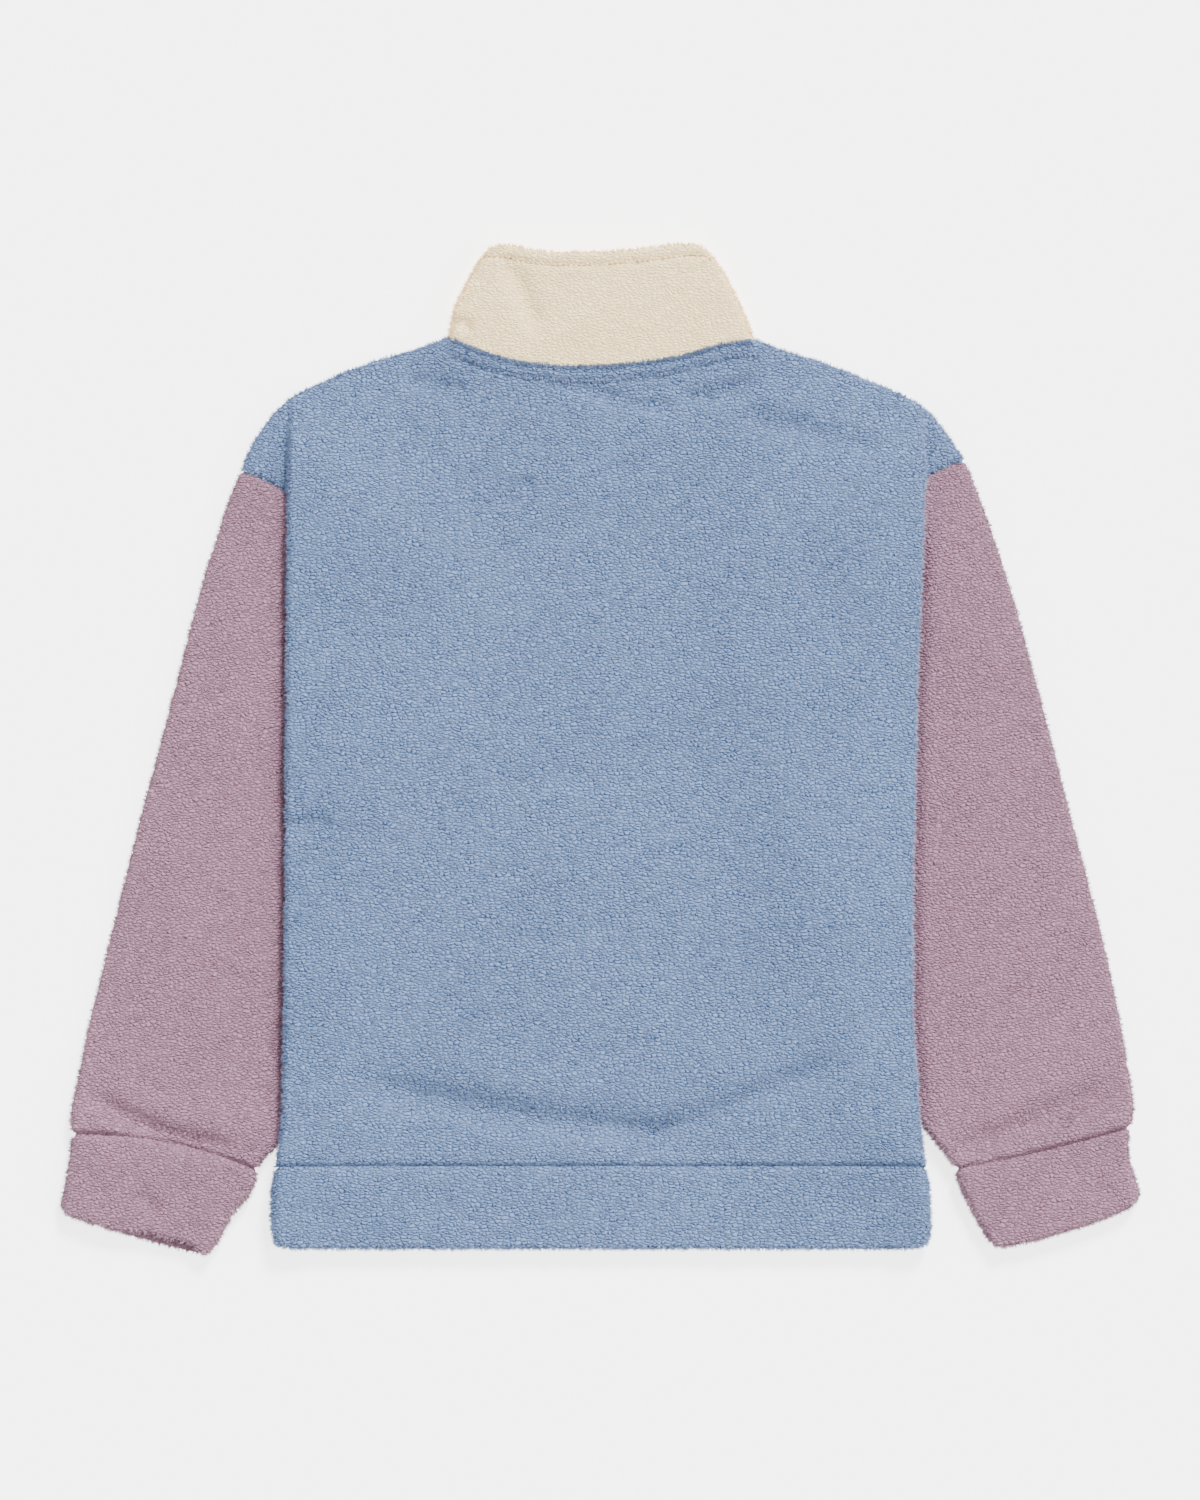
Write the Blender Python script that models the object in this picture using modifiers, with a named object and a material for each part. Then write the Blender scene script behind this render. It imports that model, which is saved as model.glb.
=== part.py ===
"""A pile fleece jacket laid flat on its front, built as it is cut and sewn.

The back panel lies on top. The sleeves are folded down and pass beneath its side edges, and the two
fronts, which meet at a zip, lie on the surface. Every piece of cloth is an open surface through rows
of points, given its wall by Solidify. Lengths in the tables are millimetres, with X to the right,
Y towards the collar and Z up from the surface. Left is the side at -X.
"""

import math
from collections import namedtuple

import bmesh
import bpy
from mathutils import Matrix

MM = 0.001

# Cloth and the spaces between its pieces
PLY = 3.6
FOLDED = 6.0
LAYER_GAP = 0.5
SEAM = 0.3
BAND_SPREAD = FOLDED + LAYER_GAP
BODY_SPREAD = PLY + LAYER_GAP
SLEEVE_TOP = PLY + BODY_SPREAD
LIFT = SLEEVE_TOP + LAYER_GAP

# A rolled edge turns by this much sideways, and its cloth starts to turn this far inside the outline
PLY_TURN = 1.9
FOLDED_TURN = 3.1
EDGE_INSET = PLY / 2 + PLY_TURN
FOLDED_INSET = FOLDED / 2 + FOLDED_TURN
SLOPE_REACH = 2.0

# Turning cloth: (share of the sideways turn, share of the drop), and for a full fold the same out of 2
ROLL_STEPS = ((0.63, 0.16), (1.0, 0.62), (1.0, 1.0))
FOLD_STEPS = ((0.71, 0.29), (1.0, 1.0), (0.71, 1.71))

# Levels along Y: the hem band's seam and free edge, and the body's rows between the armholes
HEM_SEAM = -299.9
HEM_BOTTOM = -359.0
ARMHOLE_LEVEL = 174.5
ARMHOLE_REACH = 150.0
CREASE_SPOT = {"left": -224.0, "right": 233.0}

# The hem band's corners: radius, and how much of it shows on the side and on the bottom
HEM_CORNER = 10.0
HEM_CORNER_SIDE = 0.6
HEM_CORNER_BOTTOM = 0.5

# Extra room on top of the seam's, where two curved edges meet
NECK_EASE = 0.3
ARMHOLE_EASE = 0.2
HEM_EASE = 0.1
CUFF_EASE = 0.2

# Zip
ZIP_GAP = 6.0
ZIP_TOP = 316.0
CHAIN_HALF = 2.6
CHAIN_Z = (3.6, 5.0)
TAPE_X = (2.9, 5.7)
TAPE_Z = (3.8, 4.8)
BOX_LENGTH = 12.0
BOX_THICK = 2.4
BOX_EDGE = 0.4
ZIP_INSET = 2.0
SLIDER_TOP = 314.5
SLIDER_LENGTH = 12.0
SLIDER_WIDTH = 8.6
SLIDER_Z = (2.6, 6.0)
PLATE = 0.7
WEDGE_LENGTH = 3.0
EAR = 0.9
EAR_REACH = 0.9
EAR_BOTTOM = 0.3
PIN_Y = 310.1
PIN_Z = 1.3
PIN_RADIUS = 0.4
EYE_RADIUS = 1.0
EYE_PLAY = 0.2
TAB_NECK = 1.6
NECK_LENGTH = 6.5
NECK_WIDTH = 1.3
NECK_THICK = 0.8
TAB_WIDTH = 5.0
TAB_LENGTH = 15.0
TAB_THICK = 1.0
JOIN = 0.5
EYE_CLEAR = 2.0
ROD_SEGMENTS = 16

# Where the body's cloth climbs over a sleeve: where the slope starts past it, and its length. The
# slants turn distances along X and Y into distances square to the sleeve's inner edge and armhole.
RAMP_START = 7.0
RAMP_LENGTH = 74.0
SLEEVE_SLANT = 0.93
ARMHOLE_SLANT = 0.88

# How far the panels take to reach the bands' level, and the share of a fold that reaches the hem band
BAND_FADE = 34.0
HEM_FOLD_SHARE = 0.4

# How far the back stands off the fronts, and the distances from its edges over which it rises
LOFT = 3.3
NECK_LOFT = 1.0
LOFT_FROM_SIDE = 45.0
LOFT_FROM_TOP = 50.0
COLLAR_LOFT = 1.8
FOLD_FADE = 0.25

Station = namedtuple("Station", "outer_x outer_y inner_x inner_y bow crown")
Fold = namedtuple("Fold", "x0 y0 x1 y1 sag height width")

# Sleeve sections from the armhole to the cuff seam: the two ends of each across the flat sleeve, how
# far its middle bows towards the collar, and how far its upper layer swells
SLEEVES = {
    "left": (
        Station(-258.1, 201.2, -122.4, 126.0, 4.0, 0.0),
        Station(-267.1, 180.0, -121.7, 99.4, 3.0, 0.3),
        Station(-276.4, 151.0, -126.0, 75.0, 1.0, 0.8),
        Station(-285.6, 122.4, -131.0, 50.4, 0.0, 1.4),
        Station(-308.2, 36.0, -149.8, -28.8, 0.0, 1.8),
        Station(-331.2, -50.4, -171.4, -100.8, 0.0, 1.6),
        Station(-352.8, -136.8, -193.0, -180.0, 0.0, 1.9),
        Station(-367.2, -194.4, -208.1, -230.4, 1.0, 1.6),
        Station(-377.3, -243.4, -223.2, -273.6, 4.0, 1.2),
        Station(-380.8, -260.0, -234.0, -287.0, 6.0, 0.8),
        Station(-381.2, -268.5, -243.0, -295.5, 7.0, 0.3),
        Station(-380.6, -275.0, -246.0, -301.0, 7.4, 0.0),
        Station(-380.4, -276.5, -246.6, -302.4, 7.5, 0.0),
    ),
    "right": (
        Station(262.1, 209.2, 123.8, 135.4, 3.0, 0.0),
        Station(274.3, 180.0, 123.1, 108.0, 2.0, 0.3),
        Station(284.0, 151.0, 128.0, 81.0, 1.0, 0.8),
        Station(293.8, 122.4, 133.9, 54.0, 0.0, 1.4),
        Station(317.5, 36.0, 152.6, -25.2, 0.0, 1.6),
        Station(339.8, -50.4, 174.2, -100.8, 0.0, 1.8),
        Station(362.2, -136.8, 195.8, -176.4, 0.0, 2.0),
        Station(374.4, -194.4, 211.0, -223.2, 0.0, 1.8),
        Station(382.3, -241.2, 226.1, -260.6, 0.0, 1.3),
        Station(384.6, -256.0, 239.0, -279.5, -1.0, 0.8),
        Station(383.6, -263.5, 250.5, -293.0, -1.5, 0.3),
        Station(382.1, -269.9, 255.0, -300.2, -2.0, 0.0),
        Station(382.0, -271.4, 255.5, -301.7, -2.0, 0.0),
    ),
}

# Cuff sections below the seam, in the same columns
CUFFS = {
    "left": (
        Station(-380.4, -278.6, -247.2, -304.5, 7.4, 0.0),
        Station(-381.2, -284.0, -247.8, -309.5, 6.0, 0.6),
        Station(-382.4, -297.0, -251.5, -319.0, 3.0, 1.2),
        Station(-385.6, -313.5, -264.0, -333.5, -0.5, 1.2),
        Station(-387.6, -326.0, -274.5, -353.5, -3.0, 0.6),
        Station(-388.4, -333.4, -279.5, -364.8, -1.8, 0.0),
    ),
    "right": (
        Station(381.9, -273.5, 255.8, -303.8, -2.0, 0.0),
        Station(380.8, -279.0, 257.2, -308.8, -2.5, 0.6),
        Station(380.6, -291.0, 261.5, -319.5, -3.5, 1.2),
        Station(385.2, -306.5, 269.8, -336.0, -5.0, 1.2),
        Station(387.8, -317.0, 278.3, -350.5, -6.0, 0.6),
        Station(388.4, -326.6, 282.4, -359.4, -4.0, 0.0),
    ),
}
CUFF_CORNER = 6.0

# The cuff's rows: (share of the wall, share of the corner's rounding, how far the far layer shows)
CUFF_ROWS = (
    (0.75, 0.0, 0.0), (1.0, 0.0, 0.0), (1.0, 0.0, 0.0), (1.0, 0.0, 0.0), (1.0, 0.0, 0.5),
    (0.85, 0.7, 1.0), (0.45, 1.0, 1.5),
)
CUFF_CELLS = 8
SLEEVE_CELLS = 9
PARTING_LENGTH = 14.0
PARTED_TURN = 2.1

# How far outside the body's edge the sleeve is already pressed flat by it
BODY_REST = 8.0

# The body's side edges: (y, x of the outline)
SIDE_LEFT = (
    (-358.0, -236.6), (-320.0, -236.2), (-301.0, -233.6), (-284.0, -230.6), (-266.0, -228.4),
    (-223.0, -227.5), (-108.0, -226.1), (36.0, -225.4), (187.0, -223.9),
)
SIDE_RIGHT = (
    (-358.0, 238.2), (-320.0, 237.2), (-301.0, 234.8), (-284.0, 232.2), (-268.0, 230.2),
    (-250.0, 228.8), (-223.0, 226.6), (-180.0, 224.7), (-108.0, 224.7), (-36.0, 226.1),
    (36.0, 227.5), (108.0, 230.4), (193.0, 233.3),
)

# The shoulders, from each tip to the neck: (x, y of the outline)
SHOULDER_LEFT = (
    (-258.1, 201.6), (-254.9, 210.2), (-248.4, 223.2), (-239.0, 236.9), (-224.6, 252.0),
    (-197.3, 266.2), (-162.0, 279.9), (-135.4, 287.6), (-118.0, 293.6), (-108.0, 297.4),
)
SHOULDER_RIGHT = (
    (112.0, 295.4), (131.8, 287.6), (158.4, 279.8), (192.2, 266.2), (225.4, 251.6),
    (241.9, 238.0), (252.0, 224.4), (257.6, 216.0), (262.1, 209.6),
)
NECK_BACK = (
    (-108.0, 296.2), (-84.0, 286.2), (-50.0, 277.8), (-14.0, 275.6), (25.0, 278.2), (60.0, 283.6),
    (88.0, 291.6), (112.0, 294.8),
)
NECK_FRONT = (
    (-108.0, 296.2), (-102.7, 294.0), (-88.0, 276.0), (-66.0, 254.0), (-36.0, 237.0), (0.0, 231.0),
    (36.0, 237.0), (68.0, 254.0), (90.0, 276.0), (105.3, 294.0), (112.0, 294.8),
)

# The collar: sides as (share of its height, x), upper edges as (x, y)
COLLAR_LEFT = (
    (0.0, -108.8), (0.2, -106.8), (0.41, -103.2), (0.62, -96.4), (0.84, -88.2), (0.95, -82.8),
    (1.0, -79.5),
)
COLLAR_RIGHT = (
    (0.0, 111.4), (0.2, 106.4), (0.42, 100.2), (0.63, 93.2), (0.84, 84.6), (0.95, 78.2),
    (1.0, 75.2),
)
COLLAR_TOP_BACK = (
    (-80.0, 357.5), (-76.0, 363.0), (-66.0, 363.4), (-49.0, 360.4), (-31.0, 358.2), (0.0, 358.6),
    (36.0, 361.4), (64.0, 364.4), (73.5, 363.0), (78.5, 356.5),
)
COLLAR_TOP_FRONT = (
    (-80.0, 357.5), (-76.0, 359.0), (-60.0, 346.0), (-30.0, 326.0), (0.0, 318.0), (30.0, 326.0),
    (60.0, 346.0), (74.0, 359.0), (78.5, 356.5),
)

# The largest folds of the back, as ridges (+) and troughs (-) along bowed lines
BACK_FOLDS = (
    Fold(-190.0, -226.0, 160.0, -224.0, -44.0, -2.2, 9.0),
    Fold(-150.0, -206.0, 150.0, -200.0, -42.0, 1.4, 14.0),
    Fold(-150.0, -262.0, 120.0, -262.0, -24.0, 1.2, 9.0),
    Fold(152.0, -272.0, 202.0, -208.0, -6.0, -1.3, 8.0),
    Fold(-30.0, 262.0, 116.0, 262.0, -15.0, -1.5, 8.0),
    Fold(100.0, 238.0, 190.0, 224.0, -3.0, -1.3, 10.0),
    Fold(-140.0, 262.0, -98.0, 268.0, -3.0, -1.2, 9.0),
)
COLLAR_FOLDS = (Fold(-72.0, 346.0, -56.0, 300.0, 4.0, -1.6, 8.0),)

# The step from the shoulder's cap up to the body over the sleeve: (distance inside the crease, share).
# A front climbs over a longer way, hidden beneath.
STEP = ((-2.8, 0.0), (-0.2, 0.74), (1.0, 0.89), (2.4, 0.97), (EDGE_INSET, 1.0))
FRONT_STEP_START = 2.0
FRONT_STEP_LENGTH = 26.0

# Rows of the body: distances above the hem seam, a share of the way up to the armhole for the last,
# then shares of the way from the armhole to the top. A front's rolled edge rises less there.
BODY_ROWS = (
    0.0, 2.0, 9.0, 17.0, 25.0, 33.0, 41.0, 50.0, 62.0, 80.0, 104.0, 136.0, 172.0, 208.0, 244.0,
    280.0, 312.0, 340.0, 362.0, 384.0, 406.0, 428.0, 450.0,
)
BELOW_ARMHOLE = 0.85
FRONT_ROLL_SHY = 0.6
UPPER_ROWS = (0.14, 0.3, 0.48, 0.66, 0.84, 1.0)
CAP_SHARES = (0.0, 0.34, 0.68)
SHOULDER_CELLS = 7
NECK_CELLS = {"back": 16, "front": 7}

# Rows of the two bands: (share of the way from the seam to the free edge, share of the wall)
HEM_ROWS = (
    (0.0, 0.75), (0.05, 1.0), (0.3, 1.0), (0.6, 1.0), (0.84, 1.0), (0.96, 0.85), (1.0, 0.45),
)
HEM_CELLS = (10, 22)
COLLAR_ROWS = (
    (0.0, 0.75), (0.05, 1.0), (0.25, 1.0), (0.5, 1.0), (0.72, 1.0), (0.88, 1.0), (0.965, 0.85),
    (1.0, 0.45),
)

# Colours, linear
BLUE = (0.281, 0.360, 0.494)
MAUVE = (0.409, 0.296, 0.354)
CREAM = (0.762, 0.677, 0.562)
TAPE_BLUE = (0.190, 0.260, 0.370)
ZIP_METAL = (0.560, 0.570, 0.590)
FLEECE_ROUGHNESS = 0.95
TAPE_ROUGHNESS = 0.85
METAL_ROUGHNESS = 0.35


# ---------------------------------------------------------------- curves and levels

def smooth(value):
    """0 below 0, 1 above 1, with a level start and end."""
    value = min(max(value, 0.0), 1.0)
    return value * value * (3.0 - 2.0 * value)


def mix(first, second, share):
    return first + (second - first) * share


def curve(table, value):
    """A smooth curve through the table's (position, value) rows, held level past its ends."""
    if value <= table[0][0]:
        return table[0][1]
    if value >= table[-1][0]:
        return table[-1][1]
    index = max(i for i in range(len(table) - 1) if table[i][0] <= value)
    x0, y0 = table[index]
    x1, y1 = table[index + 1]
    slopes = [slope_at(table, index), slope_at(table, index + 1)]
    length = x1 - x0
    t = (value - x0) / length
    rise = y1 - y0
    first = 2 * t ** 3 - 3 * t ** 2 + 1
    lead = (t ** 3 - 2 * t ** 2 + t) * length * slopes[0]
    trail = (t ** 3 - t ** 2) * length * slopes[1]
    return y0 * first + (y0 + rise) * (1 - first) + lead + trail


def slope_at(table, index):
    """The curve's slope at a row: the harmonic mean of its neighbours', and 0 at a peak."""
    if index == 0 or index == len(table) - 1:
        a, b = (0, 1) if index == 0 else (-2, -1)
        return (table[b][1] - table[a][1]) / (table[b][0] - table[a][0])
    before = (table[index][1] - table[index - 1][1]) / (table[index][0] - table[index - 1][0])
    after = (table[index + 1][1] - table[index][1]) / (table[index + 1][0] - table[index][0])
    if before * after <= 0:
        return 0.0
    return 2 * before * after / (before + after)


def top_edge(x):
    """The back's upper outline: shoulders and neck seam."""
    if x < NECK_BACK[0][0]:
        return curve(SHOULDER_LEFT, x)
    if x > NECK_BACK[-1][0]:
        return curve(SHOULDER_RIGHT, x)
    return curve(NECK_BACK, x)


def front_top_edge(x):
    """The fronts' upper outline: the same shoulders and a deeper neck seam."""
    if NECK_FRONT[0][0] <= x <= NECK_FRONT[-1][0]:
        return curve(NECK_FRONT, x)
    return top_edge(x)


def armhole(side, x):
    """Y of the armhole seam at x, carried on past its ends."""
    first = SLEEVES[side][0]
    share = (x - first.outer_x) / (first.inner_x - first.outer_x)
    return mix(first.outer_y, first.inner_y, share) + first.bow * 4 * share * (1 - share)


def split(x):
    """Y where the body's lower rows end: the armhole seams, and a level line between them."""
    seams = [ARMHOLE_LEVEL]
    for side in ("left", "right"):
        if abs(x - SLEEVES[side][0].outer_x) < ARMHOLE_REACH:
            seams.append(armhole(side, x))
    return max(seams)


def inner_edge(side, y):
    """X of the folded sleeve's inner edge at y, hidden by the body down to its hem."""
    stations = SLEEVES[side] + CUFFS[side]
    return curve([(row.inner_y, row.inner_x) for row in reversed(stations)], y)


def clear_of_sleeve(side, x, y):
    """Distance outside a sleeve's outline, on the body's side of it."""
    sign = 1.0 if side == "left" else -1.0
    beyond = sign * (x - inner_edge(side, y)) * SLEEVE_SLANT
    above = (y - armhole(side, x)) * ARMHOLE_SLANT
    if beyond > 0 and above > 0:
        return math.hypot(beyond, above)
    return max(beyond, above)


def lift(x, y):
    """Height by which the body's layers climb over the sleeves."""
    side = "left" if x < 0 else "right"
    return LIFT * (1 - smooth((clear_of_sleeve(side, x, y) - RAMP_START) / RAMP_LENGTH))


def fold_height(folds, x, y):
    """Height of the ridges and troughs at a point, each fading out at its ends."""
    total = 0.0
    for fold in folds:
        along_x = fold.x1 - fold.x0
        along_y = fold.y1 - fold.y0
        length = math.hypot(along_x, along_y)
        share = ((x - fold.x0) * along_x + (y - fold.y0) * along_y) / length ** 2
        offset = ((y - fold.y0) * along_x - (x - fold.x0) * along_y) / length
        bowed = offset - fold.sag * 4 * share * (1 - share)
        fade = smooth(share / FOLD_FADE) * smooth((1 - share) / FOLD_FADE)
        total += fold.height * fade * math.exp(-(bowed / fold.width) ** 2)
    return total


def near_hem(y):
    """1 at the hem seam, falling to 0 above it."""
    return 1 - smooth((y - HEM_SEAM) / BAND_FADE)


def near_neck(x, y, neck):
    """1 at the collar seam, falling to 0 below it and along the shoulders."""
    half = (neck[-1][0] - neck[0][0]) / 2
    middle = (neck[-1][0] + neck[0][0]) / 2
    past = max(abs(x - middle) - half, 0.0)
    below = max(curve(neck, x) - y, 0.0)
    return 1 - smooth(math.hypot(past, below) / BAND_FADE)


def side_x(side, y):
    return curve(SIDE_LEFT if side == "left" else SIDE_RIGHT, y)


def front_level(x, y):
    """Middle of the fronts' cloth above the surface, before the lift over the sleeves."""
    raised = max(near_hem(y), near_neck(x, y, NECK_FRONT))
    return mix(PLY / 2, FOLDED / 2, raised)


def spread(x, y):
    """Height from the middle of the fronts' cloth to the middle of the back's."""
    from_side = min(x - side_x("left", y), side_x("right", y) - x)
    from_top = top_edge(x) - y
    open_share = smooth(from_side / LOFT_FROM_SIDE) * smooth(from_top / LOFT_FROM_TOP)
    loft = LOFT * open_share + fold_height(BACK_FOLDS, x, y)
    resting = BODY_SPREAD + max(loft, 0.0)
    with_hem = mix(resting, BAND_SPREAD + HEM_FOLD_SHARE * min(loft, 0.0), near_hem(y))
    return mix(with_hem, BAND_SPREAD + NECK_LOFT * open_share, near_neck(x, y, NECK_BACK))


# ---------------------------------------------------------------- building surfaces

def new_material(name, colour, roughness, metallic=0.0):
    material = bpy.data.materials.new(name)
    material.use_nodes = True
    shader = material.node_tree.nodes["Principled BSDF"]
    shader.inputs["Base Color"].default_value = (*colour, 1.0)
    shader.inputs["Roughness"].default_value = roughness
    shader.inputs["Metallic"].default_value = metallic
    material.diffuse_color = (*colour, 1.0)
    return material


def add_object(name, mesh, material, collection):
    obj = bpy.data.objects.new(name, mesh)
    mesh.materials.append(material)
    collection.objects.link(obj)
    return obj


def cloth(name, rows, wall, material, collection, skip=None):
    """A wall of cloth about the surface through rows of (x, y, z, share of the wall) points.

    A point given twice is one vertex, and a cell with a missing point, or one that skip names by its
    row and column, is left out.
    """
    shape = bmesh.new()
    thickness = shape.verts.layers.deform.new()
    found = {}

    def vertex(point):
        key = tuple(round(value, 4) for value in point[:3])
        if key not in found:
            found[key] = shape.verts.new([value * MM for value in point[:3]])
            found[key][thickness][0] = point[3]
        return found[key]

    for row in range(len(rows) - 1):
        for column in range(len(rows[row]) - 1):
            corners = [rows[row][column], rows[row][column + 1], rows[row + 1][column + 1],
                       rows[row + 1][column]]
            if any(corner is None for corner in corners) or (skip and skip(row, column)):
                continue
            distinct = list(dict.fromkeys(vertex(corner) for corner in corners))
            if len(distinct) > 2:
                shape.faces.new(distinct)
    mesh = bpy.data.meshes.new(name)
    shape.to_mesh(mesh)
    shape.free()
    obj = add_object(name, mesh, material, collection)
    obj.vertex_groups.new(name="wall")
    solidify = obj.modifiers.new("wall", "SOLIDIFY")
    solidify.thickness = wall * MM
    solidify.offset = 0.0
    solidify.vertex_group = "wall"
    mesh.shade_smooth()
    return obj


def block(name, size, centre, material, collection, bevel=0.0):
    """A box with its edges eased."""
    shape = bmesh.new()
    bmesh.ops.create_cube(shape, size=1.0)
    scale = Matrix.Diagonal([value * MM for value in size] + [1.0])
    bmesh.ops.transform(shape, matrix=scale, verts=shape.verts)
    mesh = bpy.data.meshes.new(name)
    shape.to_mesh(mesh)
    shape.free()
    obj = add_object(name, mesh, material, collection)
    obj.location = [value * MM for value in centre]
    if bevel:
        ease = obj.modifiers.new("edges", "BEVEL")
        ease.width = bevel * MM
        ease.segments = 2
    return obj


def spaced(start, end, cells):
    """Even positions from start to end, with this many cells between them."""
    return [mix(start, end, index / cells) for index in range(cells + 1)]


# ---------------------------------------------------------------- body panels

def body_columns(panel):
    """The columns from the left shoulder's tip to the right one's, as (side, kind, value).

    The value is a cap column's share of the way to the crease, a step column's place in STEP, or a
    flat column's x at the armhole. Under the collar they stand where the collar's own columns do.
    """
    neck_left = COLLAR_LEFT[0][1] + FOLDED_INSET
    neck_right = COLLAR_RIGHT[0][1] - FOLDED_INSET
    cells = NECK_CELLS[panel]
    if panel == "back":
        neck = spaced(neck_left, neck_right, cells)
    else:
        neck = spaced(neck_left, -ZIP_GAP, cells) + spaced(ZIP_GAP, neck_right, cells)
    flats = spaced(crease_x("left") + EDGE_INSET, NECK_BACK[0][0], SHOULDER_CELLS) + neck
    flats += spaced(NECK_BACK[-1][0], crease_x("right") - EDGE_INSET, SHOULDER_CELLS)
    sides = [("cap", share) for share in CAP_SHARES] + [("step", row) for row in range(4)]
    columns = [("left", *column) for column in sides]
    columns += [("left" if x < 0 else "right", "flat", x) for x in flats]
    columns += [("right", *column) for column in reversed(sides)]
    return columns


def crease_x(side):
    """X of the fold at the armhole, where the side edge meets the shoulder's cap."""
    return side_x(side, split(CREASE_SPOT[side]))


def inward_of(side):
    """The sign of X towards the middle of the body."""
    return 1.0 if side == "left" else -1.0


def column_base(column):
    """X of a column where it crosses the armhole row."""
    side, kind, value = column
    inward = inward_of(side)
    if kind == "flat":
        return value
    if kind == "step":
        return crease_x(side) + inward * STEP[value][0]
    foot = crease_x(side) + inward * STEP[0][0]
    tip = SLEEVES[side][0].outer_x + inward * EDGE_INSET * ARMHOLE_SLANT
    return mix(tip, foot, value)


def outline_inset(side, x, is_tip, edge):
    """The point inside the shoulder's outline where its cloth starts to roll, and the way outward."""
    if is_tip:
        first = SLEEVES[side][0]
        length = math.hypot(first.outer_x - first.inner_x, first.outer_y - first.inner_y)
        out_x = (first.outer_x - first.inner_x) / length
        out_y = (first.outer_y - first.inner_y) / length
        return first.outer_x - out_x * EDGE_INSET, first.outer_y - out_y * EDGE_INSET, out_x, out_y
    slope = (edge(x + SLOPE_REACH) - edge(x - SLOPE_REACH)) / (2 * SLOPE_REACH)
    length = math.hypot(slope, 1.0)
    out_x = -slope / length
    out_y = 1.0 / length
    return x - out_x * EDGE_INSET, edge(x) - out_y * EDGE_INSET, out_x, out_y


def body_panel(name, columns, front, material, collection):
    """The back, or one of the fronts, from its columns.

    Below the armhole the side edges roll towards the other panel. Above it the cap columns carry the
    cloth on to the shoulder's tip, and the shoulder's edge rolls too.
    """
    neck = NECK_FRONT if front else NECK_BACK
    edge = front_top_edge if front else top_edge
    turn = 1.0 if front else -1.0

    def level(x, y, share=1.0):
        height = front_level(x, y) + lift(x, y) * share
        return height if front else height + spread(x, y)

    def roll_drop(x, y):
        return turn * (spread(x, y) - SEAM) / 2

    def lower_x(column, y):
        side, kind, value = column
        start = side_x("left", y) + EDGE_INSET
        end = side_x("right", y) - EDGE_INSET
        if kind == "step":
            return start if side == "left" else end
        if abs(value) <= ZIP_GAP:
            return value
        full_start = crease_x("left") + EDGE_INSET
        full_end = crease_x("right") - EDGE_INSET
        return mix(start, end, (value - full_start) / (full_end - full_start))

    def lower_row(distance, weight, top_share):
        """A row this far above the hem seam, moved by a share of its way up to the armhole."""
        row = []
        for column in columns:
            side, kind, value = column
            base = column_base(column)
            if kind == "cap" or (kind == "step" and value == 0):
                row.append(None)
                continue
            bottom = HEM_SEAM + SEAM / 2 + HEM_EASE
            y = mix(bottom + distance, split(base) + SEAM / 2 + ARMHOLE_EASE, top_share)
            x = lower_x(column, y)
            z = level(x, y)
            if kind == "step":
                sideways, drop = ROLL_STEPS[3 - value]
                shy = FRONT_ROLL_SHY if front and top_share > 0 else 1.0
                z += roll_drop(x, y) * drop * shy
                x -= inward_of(side) * PLY_TURN * sideways
            row.append((x, y, z, weight))
        return row

    def cap_share(column):
        """Share of the lift that a column has above the armhole."""
        side = column[0]
        inside = (column_base(column) - crease_x(side)) * inward_of(side)
        if front:
            return smooth((inside - FRONT_STEP_START) / FRONT_STEP_LENGTH)
        return curve(STEP, inside)

    def upper_row(share, weight):
        row = []
        for column in columns:
            side, kind, value = column
            base = column_base(column)
            is_tip = kind == "cap" and value == 0.0
            on_neck = neck[0][0] < base < neck[-1][0]
            if on_neck:
                top_x, top_y = base, edge(base) - SEAM / 2
            else:
                top_x, top_y, _, _ = outline_inset(side, base, is_tip, edge)
            bottom = split(base) + SEAM / 2 + ARMHOLE_EASE
            if front and kind == "flat":
                bottom += PLY + SEAM
            if is_tip:
                bottom = top_y + SEAM / 2 + ARMHOLE_EASE
                top_y = bottom
                base = top_x
            x = mix(base, top_x, share)
            y = mix(bottom, top_y, share)
            row.append((x, y, level(x, y, cap_share(column)), weight))
        return row

    def shoulder_roll(sideways, drop):
        row = []
        for column in columns:
            side, kind, value = column
            base = column_base(column)
            if neck[0][0] < base < neck[-1][0]:
                row.append(None)
                continue
            is_tip = kind == "cap" and value == 0.0
            x, y, out_x, out_y = outline_inset(side, base, is_tip, edge)
            y += SEAM / 2 + ARMHOLE_EASE if is_tip else 0.0
            z = level(x, y, cap_share(column)) + roll_drop(x, y) * drop
            row.append((x + out_x * PLY_TURN * sideways, y + out_y * PLY_TURN * sideways, z, 1.0))
        return row

    rows = []
    for distance in BODY_ROWS:
        weight = 0.8 if distance == 0.0 else 1.0
        rows.append(lower_row(distance, weight, 0.0))
    rows.append(lower_row(BODY_ROWS[-1], 1.0, BELOW_ARMHOLE))
    if front:
        rows.append(lower_row(BODY_ROWS[-1], 1.0, 1.0))
    slit = len(rows) - 1
    rows.append(upper_row(0.0, 1.0))
    rows += [upper_row(share, 0.9 if share == 1.0 else 1.0) for share in UPPER_ROWS]
    rows += [shoulder_roll(*step) for step in ROLL_STEPS]

    kinds = [column[1] for column in columns]

    def skip(row, column):
        beside_crease = kinds[column] != "flat" or kinds[column + 1] != "flat"
        return beside_crease and row in (slit - 1, slit)

    return cloth(name, rows, PLY, material, collection, skip if front else None)


def back_panel(material, collection):
    return body_panel("back", body_columns("back"), False, material, collection)


def front_panels(material, collection):
    columns = body_columns("front")
    for side in ("left", "right"):
        own = [column for column in columns if column[0] == side]
        body_panel(f"front_{side}", own, True, material, collection)


# ---------------------------------------------------------------- sleeves and cuffs

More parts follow.
